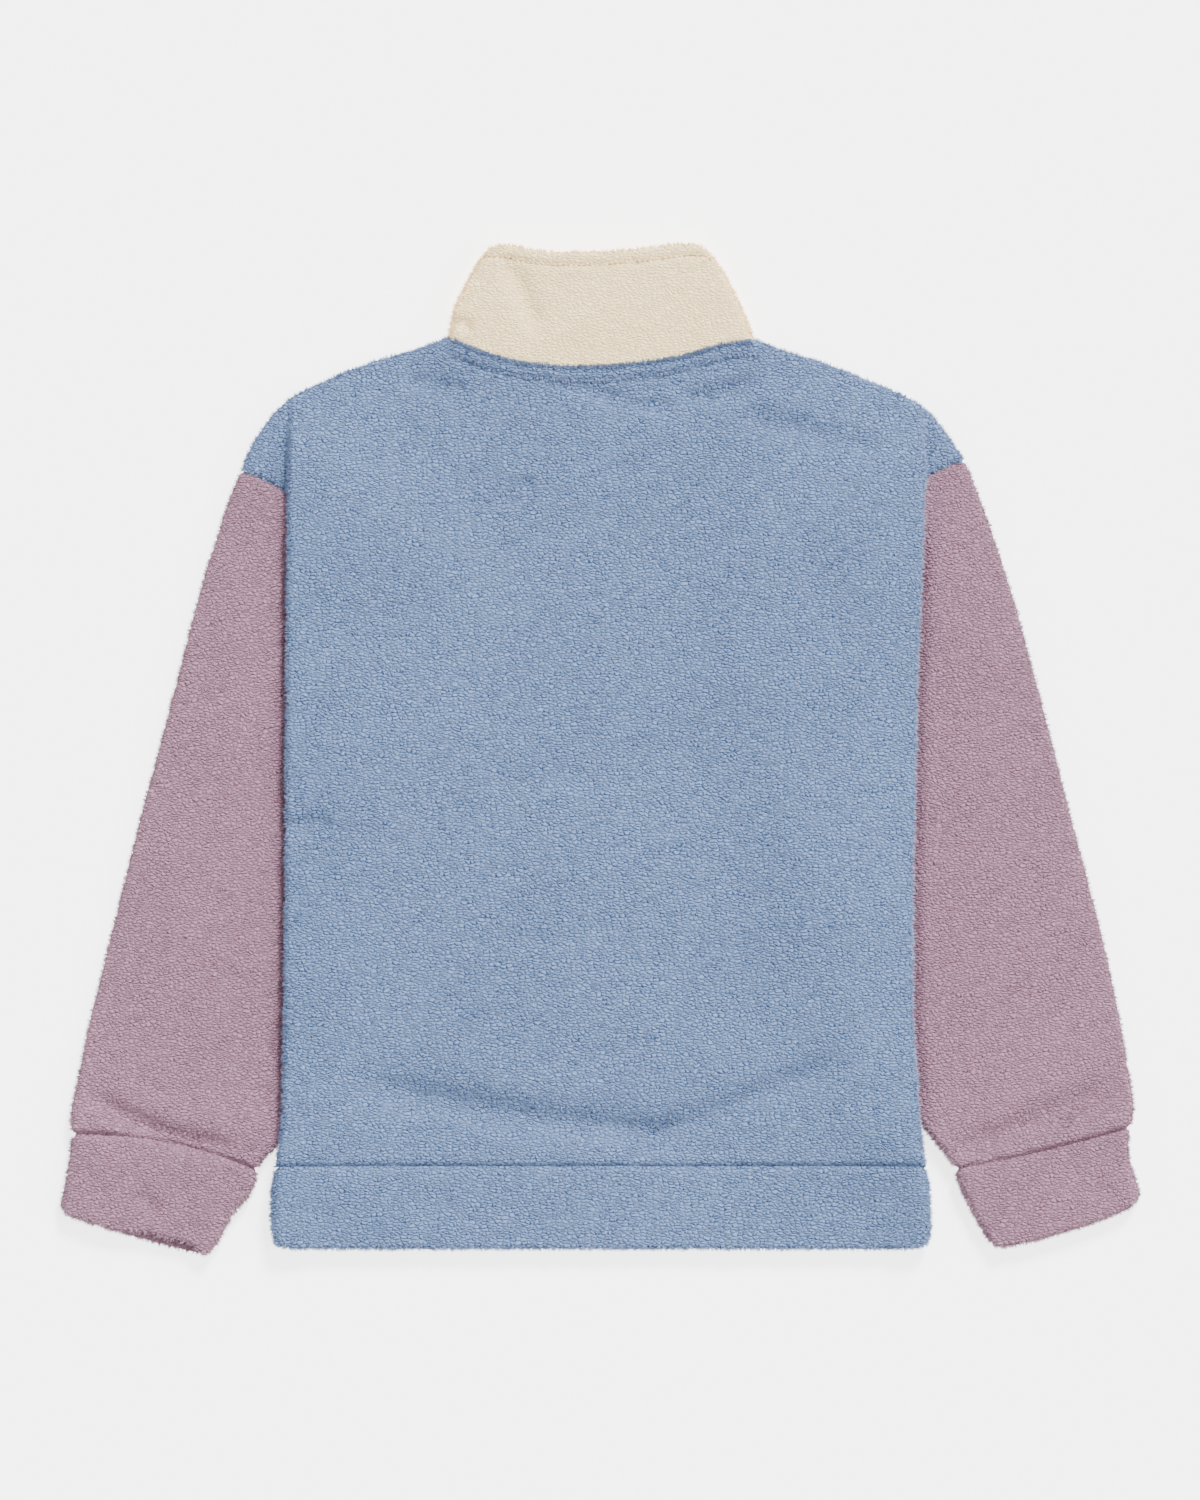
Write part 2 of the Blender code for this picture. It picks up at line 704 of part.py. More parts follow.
def corner_cut(distance, radius):
    """How far a rounded corner falls back from a straight edge, this far from the side."""
    short = min(max(radius - distance, 0.0), radius)
    return radius - math.sqrt(radius ** 2 - short ** 2)


def ring(station, low, high, turn, inset, cells, weight, corner=0.0, shy=0.0):
    """The section of a flattened tube: lower layer, inner roll, upper layer, outer roll.

    shy pulls the upper layer's middle back from a free end, and corner rounds its ends.
    """
    width = math.hypot(station.inner_x - station.outer_x, station.inner_y - station.outer_y)
    across_x = (station.inner_x - station.outer_x) / width
    across_y = (station.inner_y - station.outer_y) / width
    half = (high - low) / 2

    def point(distance, z, upper):
        share = min(max(distance / width, 0.0), 1.0)
        arch = 4 * share * (1 - share)
        bow = station.bow * arch + (shy * arch if upper else 0.0)
        cut = corner_cut(min(distance, width - distance), corner)
        x = station.outer_x + across_x * distance
        y = station.outer_y + across_y * distance + bow + cut
        return (x, y, z, weight)

    start, end = inset, width - inset
    flats = spaced(start, end, cells)
    points = [point(distance, low, False) for distance in flats]
    points += [point(end + turn * side, low + half * rise, rise > 1) for side, rise in FOLD_STEPS]
    side = "left" if station.outer_x < 0 else "right"
    shown = min(abs(side_x(side, station.outer_y) - station.outer_x) - BODY_REST, width)
    for distance in reversed(flats):
        swell = station.crown * math.sin(math.pi * min(distance / shown, 1.0)) ** 2
        points.append(point(distance, high + swell, True))
    for side, rise in reversed(FOLD_STEPS):
        points.append(point(start - turn * side, low + half * rise, rise > 1))
    points.append(points[0])
    return points


def shifted(station, distance):
    return station._replace(outer_y=station.outer_y + distance, inner_y=station.inner_y + distance)


def wound(rows, side):
    """Rows in the order that turns the tube's outside outward."""
    return rows if side == "left" else [list(reversed(row)) for row in rows]


def sleeve(side, material, collection):
    """A flattened tube from the armhole to the cuff, its layers parting a little at the cuff seam."""
    rows = []
    stations = SLEEVES[side]
    last = stations[-1]
    for station in stations:
        to_cuff = math.hypot(station.outer_x - last.outer_x, station.outer_y - last.outer_y)
        parted = 1 - smooth(to_cuff / PARTING_LENGTH)
        low = mix(PLY / 2, FOLDED / 2, parted)
        high = mix(PLY / 2 + BODY_SPREAD, FOLDED / 2 + BAND_SPREAD, parted)
        turn = mix(PLY_TURN, PARTED_TURN, parted)
        placed = shifted(station, -SEAM / 2 - ARMHOLE_EASE) if station is stations[0] else station
        weight = 0.85 if station is last else 1.0
        rows.append(ring(placed, low, high, turn, PLY / 2 + turn, SLEEVE_CELLS, weight))
    return cloth(f"sleeve_{side}", wound(rows, side), PLY, material, collection)


def cuff(side, material, collection):
    """A doubled band on the sleeve's end; the left one's far layer shows a little past its top."""
    seam = shifted(SLEEVES[side][-1], -SEAM - CUFF_EASE)
    stations = (seam,) + CUFFS[side]
    low = FOLDED / 2
    high = low + BAND_SPREAD
    rows = []
    for station, (weight, rounding, shy) in zip(stations, CUFF_ROWS):
        corner = CUFF_CORNER * rounding
        gape = shy if side == "left" else 0.0
        rows.append(ring(station, low, high, FOLDED_TURN, FOLDED_INSET, CUFF_CELLS, weight,
                         corner, gape))
    return cloth(f"cuff_{side}", wound(rows, side), FOLDED, material, collection)


# ---------------------------------------------------------------- hem band and collar

def band_row(left_x, right_x, low, high, lower_y, upper_y, cells, weight):
    """One row of a band that goes from the zip round the left side, over the back and round again.

    low, high, lower_y and upper_y are functions of x, and cells is the number across each front half
    and across the back.
    """
    start, end = left_x + FOLDED_INSET, right_x - FOLDED_INSET
    front_cells, back_cells = cells
    points = [(x, lower_y(x), low(x), weight) for x in spaced(-ZIP_GAP, start, front_cells)]
    for side, rise in FOLD_STEPS:
        y = mix(lower_y(start), upper_y(start), rise / 2)
        z = mix(low(start), high(start), rise / 2)
        points.append((start - FOLDED_TURN * side, y, z, weight))
    points += [(x, upper_y(x), high(x), weight) for x in spaced(start, end, back_cells)]
    for side, rise in reversed(FOLD_STEPS):
        y = mix(lower_y(end), upper_y(end), rise / 2)
        z = mix(low(end), high(end), rise / 2)
        points.append((end + FOLDED_TURN * side, y, z, weight))
    points += [(x, lower_y(x), low(x), weight) for x in spaced(end, ZIP_GAP, front_cells)]
    return points


def hem_band(material, collection):
    """The doubled band under the fronts and the back, lifted over the sleeves like them."""
    rows = []
    depth = HEM_SEAM - SEAM / 2 - HEM_EASE - HEM_BOTTOM
    for share, weight in HEM_ROWS:
        y = HEM_SEAM - SEAM / 2 - HEM_EASE - depth * share
        cut = corner_cut(y - HEM_BOTTOM, HEM_CORNER) * HEM_CORNER_SIDE
        left_x = side_x("left", y) + cut
        right_x = side_x("right", y) - cut

        def low(x, y=y):
            return FOLDED / 2 + lift(x, y)

        def high(x, y=y):
            return FOLDED / 2 + BAND_SPREAD + lift(x, y)

        def edge(x, y=y, left_x=left_x, right_x=right_x, share=share):
            from_end = min(x - left_x, right_x - x)
            return y + corner_cut(from_end, HEM_CORNER) * share * HEM_CORNER_BOTTOM

        rows.append(band_row(left_x, right_x, low, high, edge, edge, HEM_CELLS, weight))
    return cloth("hem_band", rows, FOLDED, material, collection)


def collar(material, collection):
    """The stand collar: its back half on top, and its front halves, set lower, beneath."""
    rows = []
    for share, weight in COLLAR_ROWS:
        left_x = curve(COLLAR_LEFT, share)
        right_x = curve(COLLAR_RIGHT, share)

        def across(x, ends, left_x=left_x, right_x=right_x):
            return mix(ends[0], ends[1], (x - left_x) / (right_x - left_x))

        def height(x, neck, top, share=share, across=across):
            at_seam = across(x, (COLLAR_LEFT[0][1], COLLAR_RIGHT[0][1]))
            base = curve(neck, at_seam) + SEAM / 2 + NECK_EASE
            return mix(base, curve(top, across(x, (top[0][0], top[-1][0]))), share)

        def upper_y(x, height=height):
            return height(x, NECK_BACK, COLLAR_TOP_BACK)

        def lower_y(x, height=height):
            return height(x, NECK_FRONT, COLLAR_TOP_FRONT)

        def low(x):
            return FOLDED / 2

        def high(x, left_x=left_x, right_x=right_x, upper_y=upper_y):
            loft = COLLAR_LOFT * smooth(min(x - left_x, right_x - x) / LOFT_FROM_SIDE)
            dent = fold_height(COLLAR_FOLDS, x, upper_y(x))
            return FOLDED / 2 + BAND_SPREAD + max(loft + dent, 0.0)

        rows.append(band_row(left_x, right_x, low, high, lower_y, upper_y,
                             (NECK_CELLS["front"], NECK_CELLS["back"]), weight))
    return cloth("collar", rows, FOLDED, material, collection)


# ---------------------------------------------------------------- zip

def zip_parts(tape, metal, collection):
    """Tapes along the front edges, the closed chain, and the box at the bottom."""
    bottom = HEM_BOTTOM + ZIP_INSET
    length = ZIP_TOP - bottom
    for side, sign in (("left", -1.0), ("right", 1.0)):
        width = TAPE_X[1] - TAPE_X[0]
        place = (sign * (TAPE_X[0] + TAPE_X[1]) / 2, bottom + length / 2, sum(TAPE_Z) / 2)
        block(f"zip_tape_{side}", (width, length, TAPE_Z[1] - TAPE_Z[0]), place, tape, collection)
    chain_start = bottom + BOX_LENGTH + SEAM
    chain_end = SLIDER_TOP - WEDGE_LENGTH - SEAM
    size = (2 * CHAIN_HALF, chain_end - chain_start, CHAIN_Z[1] - CHAIN_Z[0])
    place = (0.0, (chain_start + chain_end) / 2, sum(CHAIN_Z) / 2)
    block("zip_chain", size, place, metal, collection)
    box_size = (2 * CHAIN_HALF, BOX_LENGTH, BOX_THICK)
    box_place = (0.0, bottom + BOX_LENGTH / 2, sum(CHAIN_Z) / 2)
    block("zip_box", box_size, box_place, metal, collection, bevel=BOX_EDGE)


def box_into(shape, size, centre):
    """Add a box to a bmesh, in millimetres."""
    made = bmesh.ops.create_cube(shape, size=1.0)["verts"]
    scale = Matrix.Diagonal([value * MM for value in size] + [1.0])
    place = Matrix.Translation([value * MM for value in centre])
    bmesh.ops.transform(shape, matrix=place @ scale, verts=made)


def solid(name, build, material, collection):
    """An object of one shape that build adds to a bmesh."""
    shape = bmesh.new()
    build(shape)
    mesh = bpy.data.meshes.new(name)
    shape.to_mesh(mesh)
    shape.free()
    return add_object(name, mesh, material, collection)


def union(target, part):
    """Join a part to the target with a Boolean, and keep it out of the build as a guide."""
    join = target.modifiers.new(part.name, "BOOLEAN")
    join.operation = "UNION"
    join.object = part
    part.hide_render = True
    part.display_type = "WIRE"


def zip_slider(metal, collection, guides):
    """Two plates round the chain, the wedge that joins them, and two ears with the tab's pin."""
    wedge_y = SLIDER_TOP - WEDGE_LENGTH / 2
    middle_y = SLIDER_TOP - SLIDER_LENGTH / 2
    slider = solid("zip_slider", lambda shape: box_into(
        shape, (SLIDER_WIDTH, SLIDER_LENGTH, PLATE), (0.0, middle_y, SLIDER_Z[1] - PLATE / 2)),
        metal, collection)
    pieces = {
        "lower_plate": ((SLIDER_WIDTH, SLIDER_LENGTH, PLATE),
                        (0.0, middle_y, SLIDER_Z[0] + PLATE / 2)),
        "wedge": ((2 * CHAIN_HALF, WEDGE_LENGTH, SLIDER_Z[1] - SLIDER_Z[0] - PLATE),
                  (0.0, wedge_y, sum(SLIDER_Z) / 2)),
    }
    for sign, name in ((-1.0, "ear_left"), (1.0, "ear_right")):
        height = SLIDER_Z[0] + PLATE / 2 - EAR_BOTTOM
        pieces[name] = ((EAR, 2 * EAR_REACH, height),
                        (sign * (TAB_NECK / 2 + SEAM + EAR / 2), PIN_Y, EAR_BOTTOM + height / 2))
    for name, (size, centre) in pieces.items():
        union(slider, solid(name, lambda shape: box_into(shape, size, centre), metal, guides))
    pin = solid("pin", lambda shape: rod_into(
        shape, PIN_RADIUS, TAB_NECK + 2 * SEAM + EAR, (0.0, PIN_Y, PIN_Z)), metal, guides)
    union(slider, pin)


def rod_into(shape, radius, length, centre):
    """Add a rod along X to a bmesh, in millimetres."""
    made = bmesh.ops.create_cone(shape, cap_ends=True, segments=ROD_SEGMENTS, radius1=radius * MM,
                                 radius2=radius * MM, depth=length * MM)["verts"]
    turn = Matrix.Rotation(math.pi / 2, 4, "Y")
    place = Matrix.Translation([value * MM for value in centre])
    bmesh.ops.transform(shape, matrix=place @ turn, verts=made)


def zip_pull(metal, collection, guides):
    """The pull tab: an eye round the slider's pin, a neck, and a flat plate below it."""
    pull = solid("zip_pull", lambda shape: rod_into(
        shape, EYE_RADIUS, TAB_NECK, (0.0, 0.0, 0.0)), metal, collection)
    pull.location = (0.0, PIN_Y * MM, PIN_Z * MM)
    neck_start = (PIN_RADIUS + EYE_PLAY + EYE_RADIUS) / 2
    neck = solid("neck", lambda shape: box_into(
        shape, (NECK_WIDTH, NECK_LENGTH, NECK_THICK), (0.0, -neck_start - NECK_LENGTH / 2, 0.0)),
        metal, guides)
    plate = solid("plate", lambda shape: box_into(
        shape, (TAB_WIDTH, TAB_LENGTH, TAB_THICK), (0.0, JOIN - NECK_LENGTH - TAB_LENGTH / 2, 0.0)),
        metal, guides)
    eye = solid("eye", lambda shape: rod_into(
        shape, PIN_RADIUS + EYE_PLAY, TAB_NECK + EYE_CLEAR, (0.0, 0.0, 0.0)), metal, guides)
    for guide in (neck, plate, eye):
        guide.location = pull.location
    union(pull, neck)
    union(pull, plate)
    hole = pull.modifiers.new("eye", "BOOLEAN")
    hole.operation = "DIFFERENCE"
    hole.object = eye
    eye.hide_render = True
    eye.display_type = "WIRE"


# ---------------------------------------------------------------- whole jacket

def clear_scene():
    """Remove every object, so that a second run starts empty."""
    for obj in list(bpy.data.objects):
        bpy.data.objects.remove(obj, do_unlink=True)


def main():
    clear_scene()
    collection = bpy.data.collections.new("fleece_jacket")
    guides = bpy.data.collections.new("guides")
    bpy.context.scene.collection.children.link(collection)
    bpy.context.scene.collection.children.link(guides)
    blue = new_material("blue_fleece", BLUE, FLEECE_ROUGHNESS)
    mauve = new_material("mauve_fleece", MAUVE, FLEECE_ROUGHNESS)
    cream = new_material("cream_fleece", CREAM, FLEECE_ROUGHNESS)
    tape = new_material("zip_tape", TAPE_BLUE, TAPE_ROUGHNESS)
    metal = new_material("zip_metal", ZIP_METAL, METAL_ROUGHNESS, 1.0)
    back_panel(blue, collection)
    front_panels(blue, collection)
    hem_band(blue, collection)
    collar(cream, collection)
    for side in ("left", "right"):
        sleeve(side, mauve, collection)
        cuff(side, mauve, collection)
    zip_parts(tape, metal, collection)
    zip_slider(metal, collection, guides)
    zip_pull(metal, collection, guides)


main()
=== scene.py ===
"""A pile fleece jacket laid flat on its front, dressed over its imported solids.

Each piece of cloth is one surface worked out on a grid: the outline, layers and folds of its solid,
then the curls of its pile raised along the normals. Tables and shape functions are in millimetres,
with +Y towards the collar and Z up from the surface, and meshes are in metres. Left is at -X.
"""

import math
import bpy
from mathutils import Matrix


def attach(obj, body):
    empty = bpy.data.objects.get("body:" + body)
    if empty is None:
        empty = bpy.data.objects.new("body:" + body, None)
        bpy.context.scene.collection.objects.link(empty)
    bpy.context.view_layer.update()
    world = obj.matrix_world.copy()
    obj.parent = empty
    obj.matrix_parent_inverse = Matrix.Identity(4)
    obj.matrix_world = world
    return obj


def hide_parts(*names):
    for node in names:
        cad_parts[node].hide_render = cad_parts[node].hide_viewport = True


bl_info = {
    "name": "Pile Fleece Jacket",
    "version": (1, 0, 0),
    "blender": (4, 5, 0),
    "location": "3D View > Sidebar > Jacket",
    "description": "Lays out a pile fleece jacket with its seams, stitching and zip",
    "category": "Add Mesh",
}

from collections import namedtuple

import bpy
import numpy as np
from bpy.props import FloatProperty, FloatVectorProperty, PointerProperty

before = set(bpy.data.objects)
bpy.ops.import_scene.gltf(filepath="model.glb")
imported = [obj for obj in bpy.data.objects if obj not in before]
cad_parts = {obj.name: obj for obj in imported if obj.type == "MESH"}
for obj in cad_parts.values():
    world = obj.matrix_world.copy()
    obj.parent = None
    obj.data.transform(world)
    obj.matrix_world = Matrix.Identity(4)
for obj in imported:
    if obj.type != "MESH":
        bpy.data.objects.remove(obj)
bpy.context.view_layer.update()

MM = 0.001
JACKET_BODY = "jacket"

# Cloth and the spaces between its layers, as in the solids
PLY = 3.6
FOLDED = 6.0
LAYER_GAP = 0.5
SEAM = 0.3
BAND_SPREAD = FOLDED + LAYER_GAP
BODY_SPREAD = PLY + LAYER_GAP
SLEEVE_TOP = PLY + BODY_SPREAD
BAND_TOP = FOLDED + BAND_SPREAD
LIFT = SLEEVE_TOP + LAYER_GAP
EDGE_ROLL = 3.7
BAND_ROLL = 6.1
SEAM_ROLL = 1.2
NECK_FALL = 0.9
RIM = FOLDED / 2
RIM_INSIDE = 12.0

# Seams: how far from the seam's line a tucked edge ends, less than 0 being past it, how deep it is
# tucked, and the valleys at seams and stitches: (depth, width), or one of the two
TUCK = -0.25
TUCK_DEPTH = 1.6
HEM_VALLEY = (2.5, 2.2)
NECK_STITCH_VALLEY = (1.6, 1.8)
CAP_VALLEY = (2.3, 2.0)
ARMHOLE_VALLEY = (1.9, 2.0)
SLEEVE_END_VALLEY = (2.8, 1.8)
COLLAR_STITCH_VALLEY = (1.7, 1.7)
CUFF_SEAM_DEPTH = 2.4
HEM_SEAM_DEPTH = 2.2
COLLAR_SEAM_DEPTH = 0.2
BAND_VALLEY_WIDTH = 2.0
ZIP_VALLEY_WIDTH = 1.2
NO_SEAM = 99.0

# Curls: how far height shifts their plane along X and Y, the waves that bend and push the plane
# (amount, wavelength), how far a bend reaches, the tufts' size beside the locks' (length, width) and
# the height of both
HEIGHT_SHIFT = (0.6, 1.7)
BEND_WAVE = (0.9, 45.0)
BEND_REACH = 6.0
PUSH_WAVES = ((5.0, 15.0), (4.0, 17.0))
TUFT_SIZE = (0.55, 0.62)
LOCK_HEIGHT = 1.05
TUFT_HEIGHT = 0.7

# Pile: where the hollows between the curls start and over what height, how much lower they are, how
# much higher curls are where the cloth turns from level (from, over), the lowest level of cloth, and
# the rows of a sewn end that only move outward
HOLLOW_FROM = 0.05
HOLLOW_OVER = 0.55
HOLLOW_DROP = 0.9
EDGE_LUMPS = 1.8
EDGE_TURN = (0.7, 0.5)
LOWEST_CLOTH = 0.04
SEWN_ROWS = 3

# Fuzz: where it grows, by the Z of the cloth's normal (from, over, lowest), the fibres in a tuft, the
# tufts' lean, lengths and depth of root, the spread of fibres at root and tip, their lowest levels, and
# the rows of cells at a sewn end that have none
FUZZ_TURN = (0.9, 0.3, -0.35)
FIBRES = 6
TUFT_LEAN = 0.4
TUFT_LENGTHS = (0.5, 1.2)
ROOT_DEPTH = 0.4
ROOT_SPREAD = 0.45
TIP_SPREAD = 0.5
LOWEST_ROOT = 0.15
LOWEST_TIP = 0.05
BARE_ROWS = 5

# Nap in the materials: the way that it lies, which is also the way that the painted shadows under the
# tufts fall, and how much it rises, and for the tips of the fuzz their painted lightening towards
# white, their depth of painted shade and their relief
NAP_AND_SHADOW_WAY = (-0.3, -0.95, 0.0)
NAP_RISE = 0.55
TIP_PAINTED_LIGHT = 0.08
TIP_PAINTED_SHADE = 0.3
TIP_RELIEF = 0.3

# Noises of the nap as (scale, detail, roughness), the two warps with how far they push, in metres, the
# clouds' stretch, and the tones that the mottle is spread over, as (from, to, darkest, lightest)
WARPS = ((60.0, 1.0, 0.6, 0.0045), (450.0, 2.5, 0.6, 0.0030))
PATCHES = (90.0, 2.0, 0.5)
LINT = (1300.0, 2.0, 0.6)
CLOUDS = (7.0, 4.0, 0.58)
CLOUD_STRETCH = (1.0, 1.7, 1.0)
TONES = (0.2, 0.8, 0.88, 1.13)

# Ranges that the nap's parts are brought from and to: the painted shadow under a tuft's lower end,
# its own tone, the patches, the gap's painted shade and the dome at its border. Then the lint's height,
# the mottle's two shares, how much painted shade the crevices and the hollows between the curls take,
# and the relief in metres
UNDER_TUFT = (-0.2, 0.22, 0.2, 1.0)
OWN_SHADE = (0.1, 0.8, 0.45, 1.0)
PATCH_SHADE = (0.34, 0.62, 0.65, 1.0)
BORDER_GAP = (0.0, 0.3, 1.0, 0.0)
BORDER_DOME = (-0.06, 0.45)
LINT_HEIGHT = 0.5
CLOUD_SHARE = 0.65
OWN_SHARE = 0.35
CREVICE_PAINTED_SHADE = 1.3
HOLLOW_PAINTED_SHADE = 0.12
NAP_DEPTH = 0.0020

# Levels along Y, how far across an armhole's seam reaches, where the creases at the armholes are
# looked for, and half the gap at the zip
HEM_SEAM = -299.9
HEM_BOTTOM = -359.0
ARMHOLE_LEVEL = 174.5
ARMHOLE_REACH = 150.0
CREASE_SPOT = {"left": -224.0, "right": 233.0}
ZIP_GAP = 6.0

# Where the body climbs over a sleeve: the ramp beside it, and how steeply its two edges cross X and Y.
# How a sleeve parts towards its cuff: over what length, how far above it and how much more it rolls
RAMP_START = 7.0
RAMP_LENGTH = 74.0
SLEEVE_SLANT = 0.93
ARMHOLE_SLANT = 0.88
PART_LENGTH = 64.0
PART_RISE = 0.3
PART_ROLL = 1.4

# Loft of the back over the fronts and of the collar, how far the bands' level reaches into the panels,
# and the share of a fold's length over which each of its ends fades
LOFT = 3.3
NECK_LOFT = 2.4
LOFT_FROM_SIDE = 45.0
LOFT_FROM_TOP = 50.0
COLLAR_LOFT = 1.8
COLLAR_LOFT_SHARE = 0.4
BAND_FADE = 34.0
FOLD_FADE = 0.25

Station = namedtuple("Station", "outer_x outer_y inner_x inner_y bow crown")
Fold = namedtuple("Fold", "x0 y0 x1 y1 sag height width")

# Sleeve sections from the armhole to the cuff seam: the two ends of each across the flat sleeve, how
# far its middle bows towards the collar, and how far its upper layer swells
SLEEVES = {
    "left": (
        Station(-258.1, 201.2, -122.4, 126.0, 4.0, 0.0),
        Station(-267.1, 180.0, -121.7, 99.4, 3.0, 0.3),
        Station(-276.4, 151.0, -126.0, 75.0, 1.0, 0.8),
        Station(-285.6, 122.4, -131.0, 50.4, 0.0, 1.4),
        Station(-308.2, 36.0, -149.8, -28.8, 0.0, 1.8),
        Station(-331.2, -50.4, -171.4, -100.8, 0.0, 1.6),
        Station(-352.8, -136.8, -193.0, -180.0, 0.0, 1.9),
        Station(-367.2, -194.4, -208.1, -230.4, 1.0, 1.6),
        Station(-377.3, -243.4, -223.2, -273.6, 4.0, 1.2),
        Station(-380.8, -260.0, -234.0, -287.0, 6.0, 0.8),
        Station(-381.2, -268.5, -243.0, -295.5, 7.0, 0.3),
        Station(-380.4, -276.5, -246.6, -302.4, 7.5, 0.0),
    ),
    "right": (
        Station(262.1, 209.2, 123.8, 135.4, 3.0, 0.0),
        Station(274.3, 180.0, 123.1, 108.0, 2.0, 0.3),
        Station(284.0, 151.0, 128.0, 81.0, 1.0, 0.8),
        Station(293.8, 122.4, 133.9, 54.0, 0.0, 1.4),
        Station(317.5, 36.0, 152.6, -25.2, 0.0, 1.6),
        Station(339.8, -50.4, 174.2, -100.8, 0.0, 1.8),
        Station(362.2, -136.8, 195.8, -176.4, 0.0, 2.0),
        Station(374.4, -194.4, 211.0, -223.2, 0.0, 1.8),
        Station(382.3, -241.2, 226.1, -260.6, 0.0, 1.3),
        Station(384.6, -256.0, 239.0, -279.5, -1.0, 0.8),
        Station(383.6, -263.5, 250.5, -293.0, -1.5, 0.3),
        Station(382.0, -271.4, 255.5, -301.7, -2.0, 0.0),
    ),
}

# Cuff sections from the seam to the open end, in the same columns
CUFFS = {
    "left": (
        Station(-380.4, -277.0, -246.6, -302.9, 7.5, 0.0),
        Station(-381.2, -284.0, -247.8, -309.5, 6.0, 0.6),
        Station(-382.4, -297.0, -251.5, -319.0, 3.0, 1.2),
        Station(-385.6, -313.5, -264.0, -333.5, -0.5, 1.2),
        Station(-387.6, -326.0, -274.5, -353.5, -3.0, 0.6),
        Station(-388.4, -333.4, -279.5, -364.8, -1.8, 0.0),
    ),
    "right": (
        Station(382.0, -271.9, 255.5, -302.2, -2.0, 0.0),
        Station(380.8, -279.0, 257.2, -308.8, -2.5, 0.6),
        Station(380.6, -291.0, 261.5, -319.5, -3.5, 1.2),
        Station(385.2, -306.5, 269.8, -336.0, -5.0, 1.2),
        Station(387.8, -317.0, 278.3, -350.5, -6.0, 0.6),
        Station(388.4, -326.6, 282.4, -359.4, -4.0, 0.0),
    ),
}

# The bands' corners: radii, the cuffs' length along the edge and the share of the hem's fall, and how
# far the left cuff's upper layer draws back over its opening, along what length and (from, over)
CORNERS = {"cuff": 9.0, "hem": 13.0}
CUFF_CORNER_LENGTH = 8.0
HEM_CORNER_SIDE = 0.6
HEM_CORNER_BOTTOM = 0.6
CUFF_GAPE = 6.0
GAPE_LENGTH = 24.0
GAPE_START = (0.3, 0.32)
GAPE_END = (0.95, 0.12)

# How far outside the body's edge the sleeve is already pressed flat by it
BODY_REST = 8.0

# Side edges of the body: (y, x of the outline)
SIDES = {
    "left": (
        (-358.0, -236.6), (-320.0, -236.2), (-301.0, -233.6), (-284.0, -230.6), (-266.0, -228.4),
        (-223.0, -227.5), (-108.0, -226.1), (36.0, -225.4), (187.0, -223.9),
    ),
    "right": (
        (-358.0, 238.2), (-320.0, 237.2), (-301.0, 234.8), (-284.0, 232.2), (-268.0, 230.2),
        (-250.0, 228.8), (-223.0, 226.6), (-180.0, 224.7), (-108.0, 224.7), (-36.0, 226.1),
        (36.0, 227.5), (108.0, 230.4), (193.0, 233.3),
    ),
}

# Shoulders and necklines: (x, y of the outline)
SHOULDERS = {
    "left": (
        (-258.1, 201.6), (-254.9, 210.2), (-248.4, 223.2), (-239.0, 236.9), (-224.6, 252.0),
        (-197.3, 266.2), (-162.0, 279.9), (-135.4, 287.6), (-118.0, 293.6), (-108.0, 297.4),
    ),
    "right": (
        (112.0, 295.4), (131.8, 287.6), (158.4, 279.8), (192.2, 266.2), (225.4, 251.6),
        (241.9, 238.0), (252.0, 224.4), (257.6, 216.0), (262.1, 209.6),
    ),
}
NECK_BACK = (
    (-108.0, 296.2), (-84.0, 286.2), (-50.0, 277.8), (-14.0, 275.6), (25.0, 278.2), (60.0, 283.6),
    (88.0, 291.6), (112.0, 294.8),
)
NECK_FRONT = (
    (-108.0, 296.2), (-102.7, 294.0), (-88.0, 276.0), (-66.0, 254.0), (-36.0, 237.0), (0.0, 231.0),
    (36.0, 237.0), (68.0, 254.0), (90.0, 276.0), (105.3, 294.0), (112.0, 294.8),
)

# The collar: sides as (share of its height, x), upper edges as (x, y)
COLLAR_SIDES = {
    "left": (
        (0.0, -108.8), (0.2, -106.8), (0.41, -103.2), (0.62, -96.4), (0.84, -88.2),
        (0.95, -82.8), (1.0, -79.5),
    ),
    "right": (
        (0.0, 111.4), (0.2, 106.4), (0.42, 100.2), (0.63, 93.2), (0.84, 84.6), (0.95, 78.2),
        (1.0, 75.2),
    ),
}
COLLAR_TOP_BACK = (
    (-80.0, 357.5), (-76.0, 363.0), (-66.0, 363.4), (-49.0, 360.4), (-31.0, 358.2), (0.0, 358.6),
    (36.0, 361.4), (64.0, 364.4), (73.5, 363.0), (78.5, 356.5),
)
COLLAR_TOP_FRONT = (
    (-80.0, 357.5), (-76.0, 359.0), (-60.0, 346.0), (-30.0, 326.0), (0.0, 318.0), (30.0, 326.0),
    (60.0, 346.0), (74.0, 359.0), (78.5, 356.5),
)

COLLAR_HEIGHT = COLLAR_TOP_BACK[5][1] - NECK_BACK[3][1]

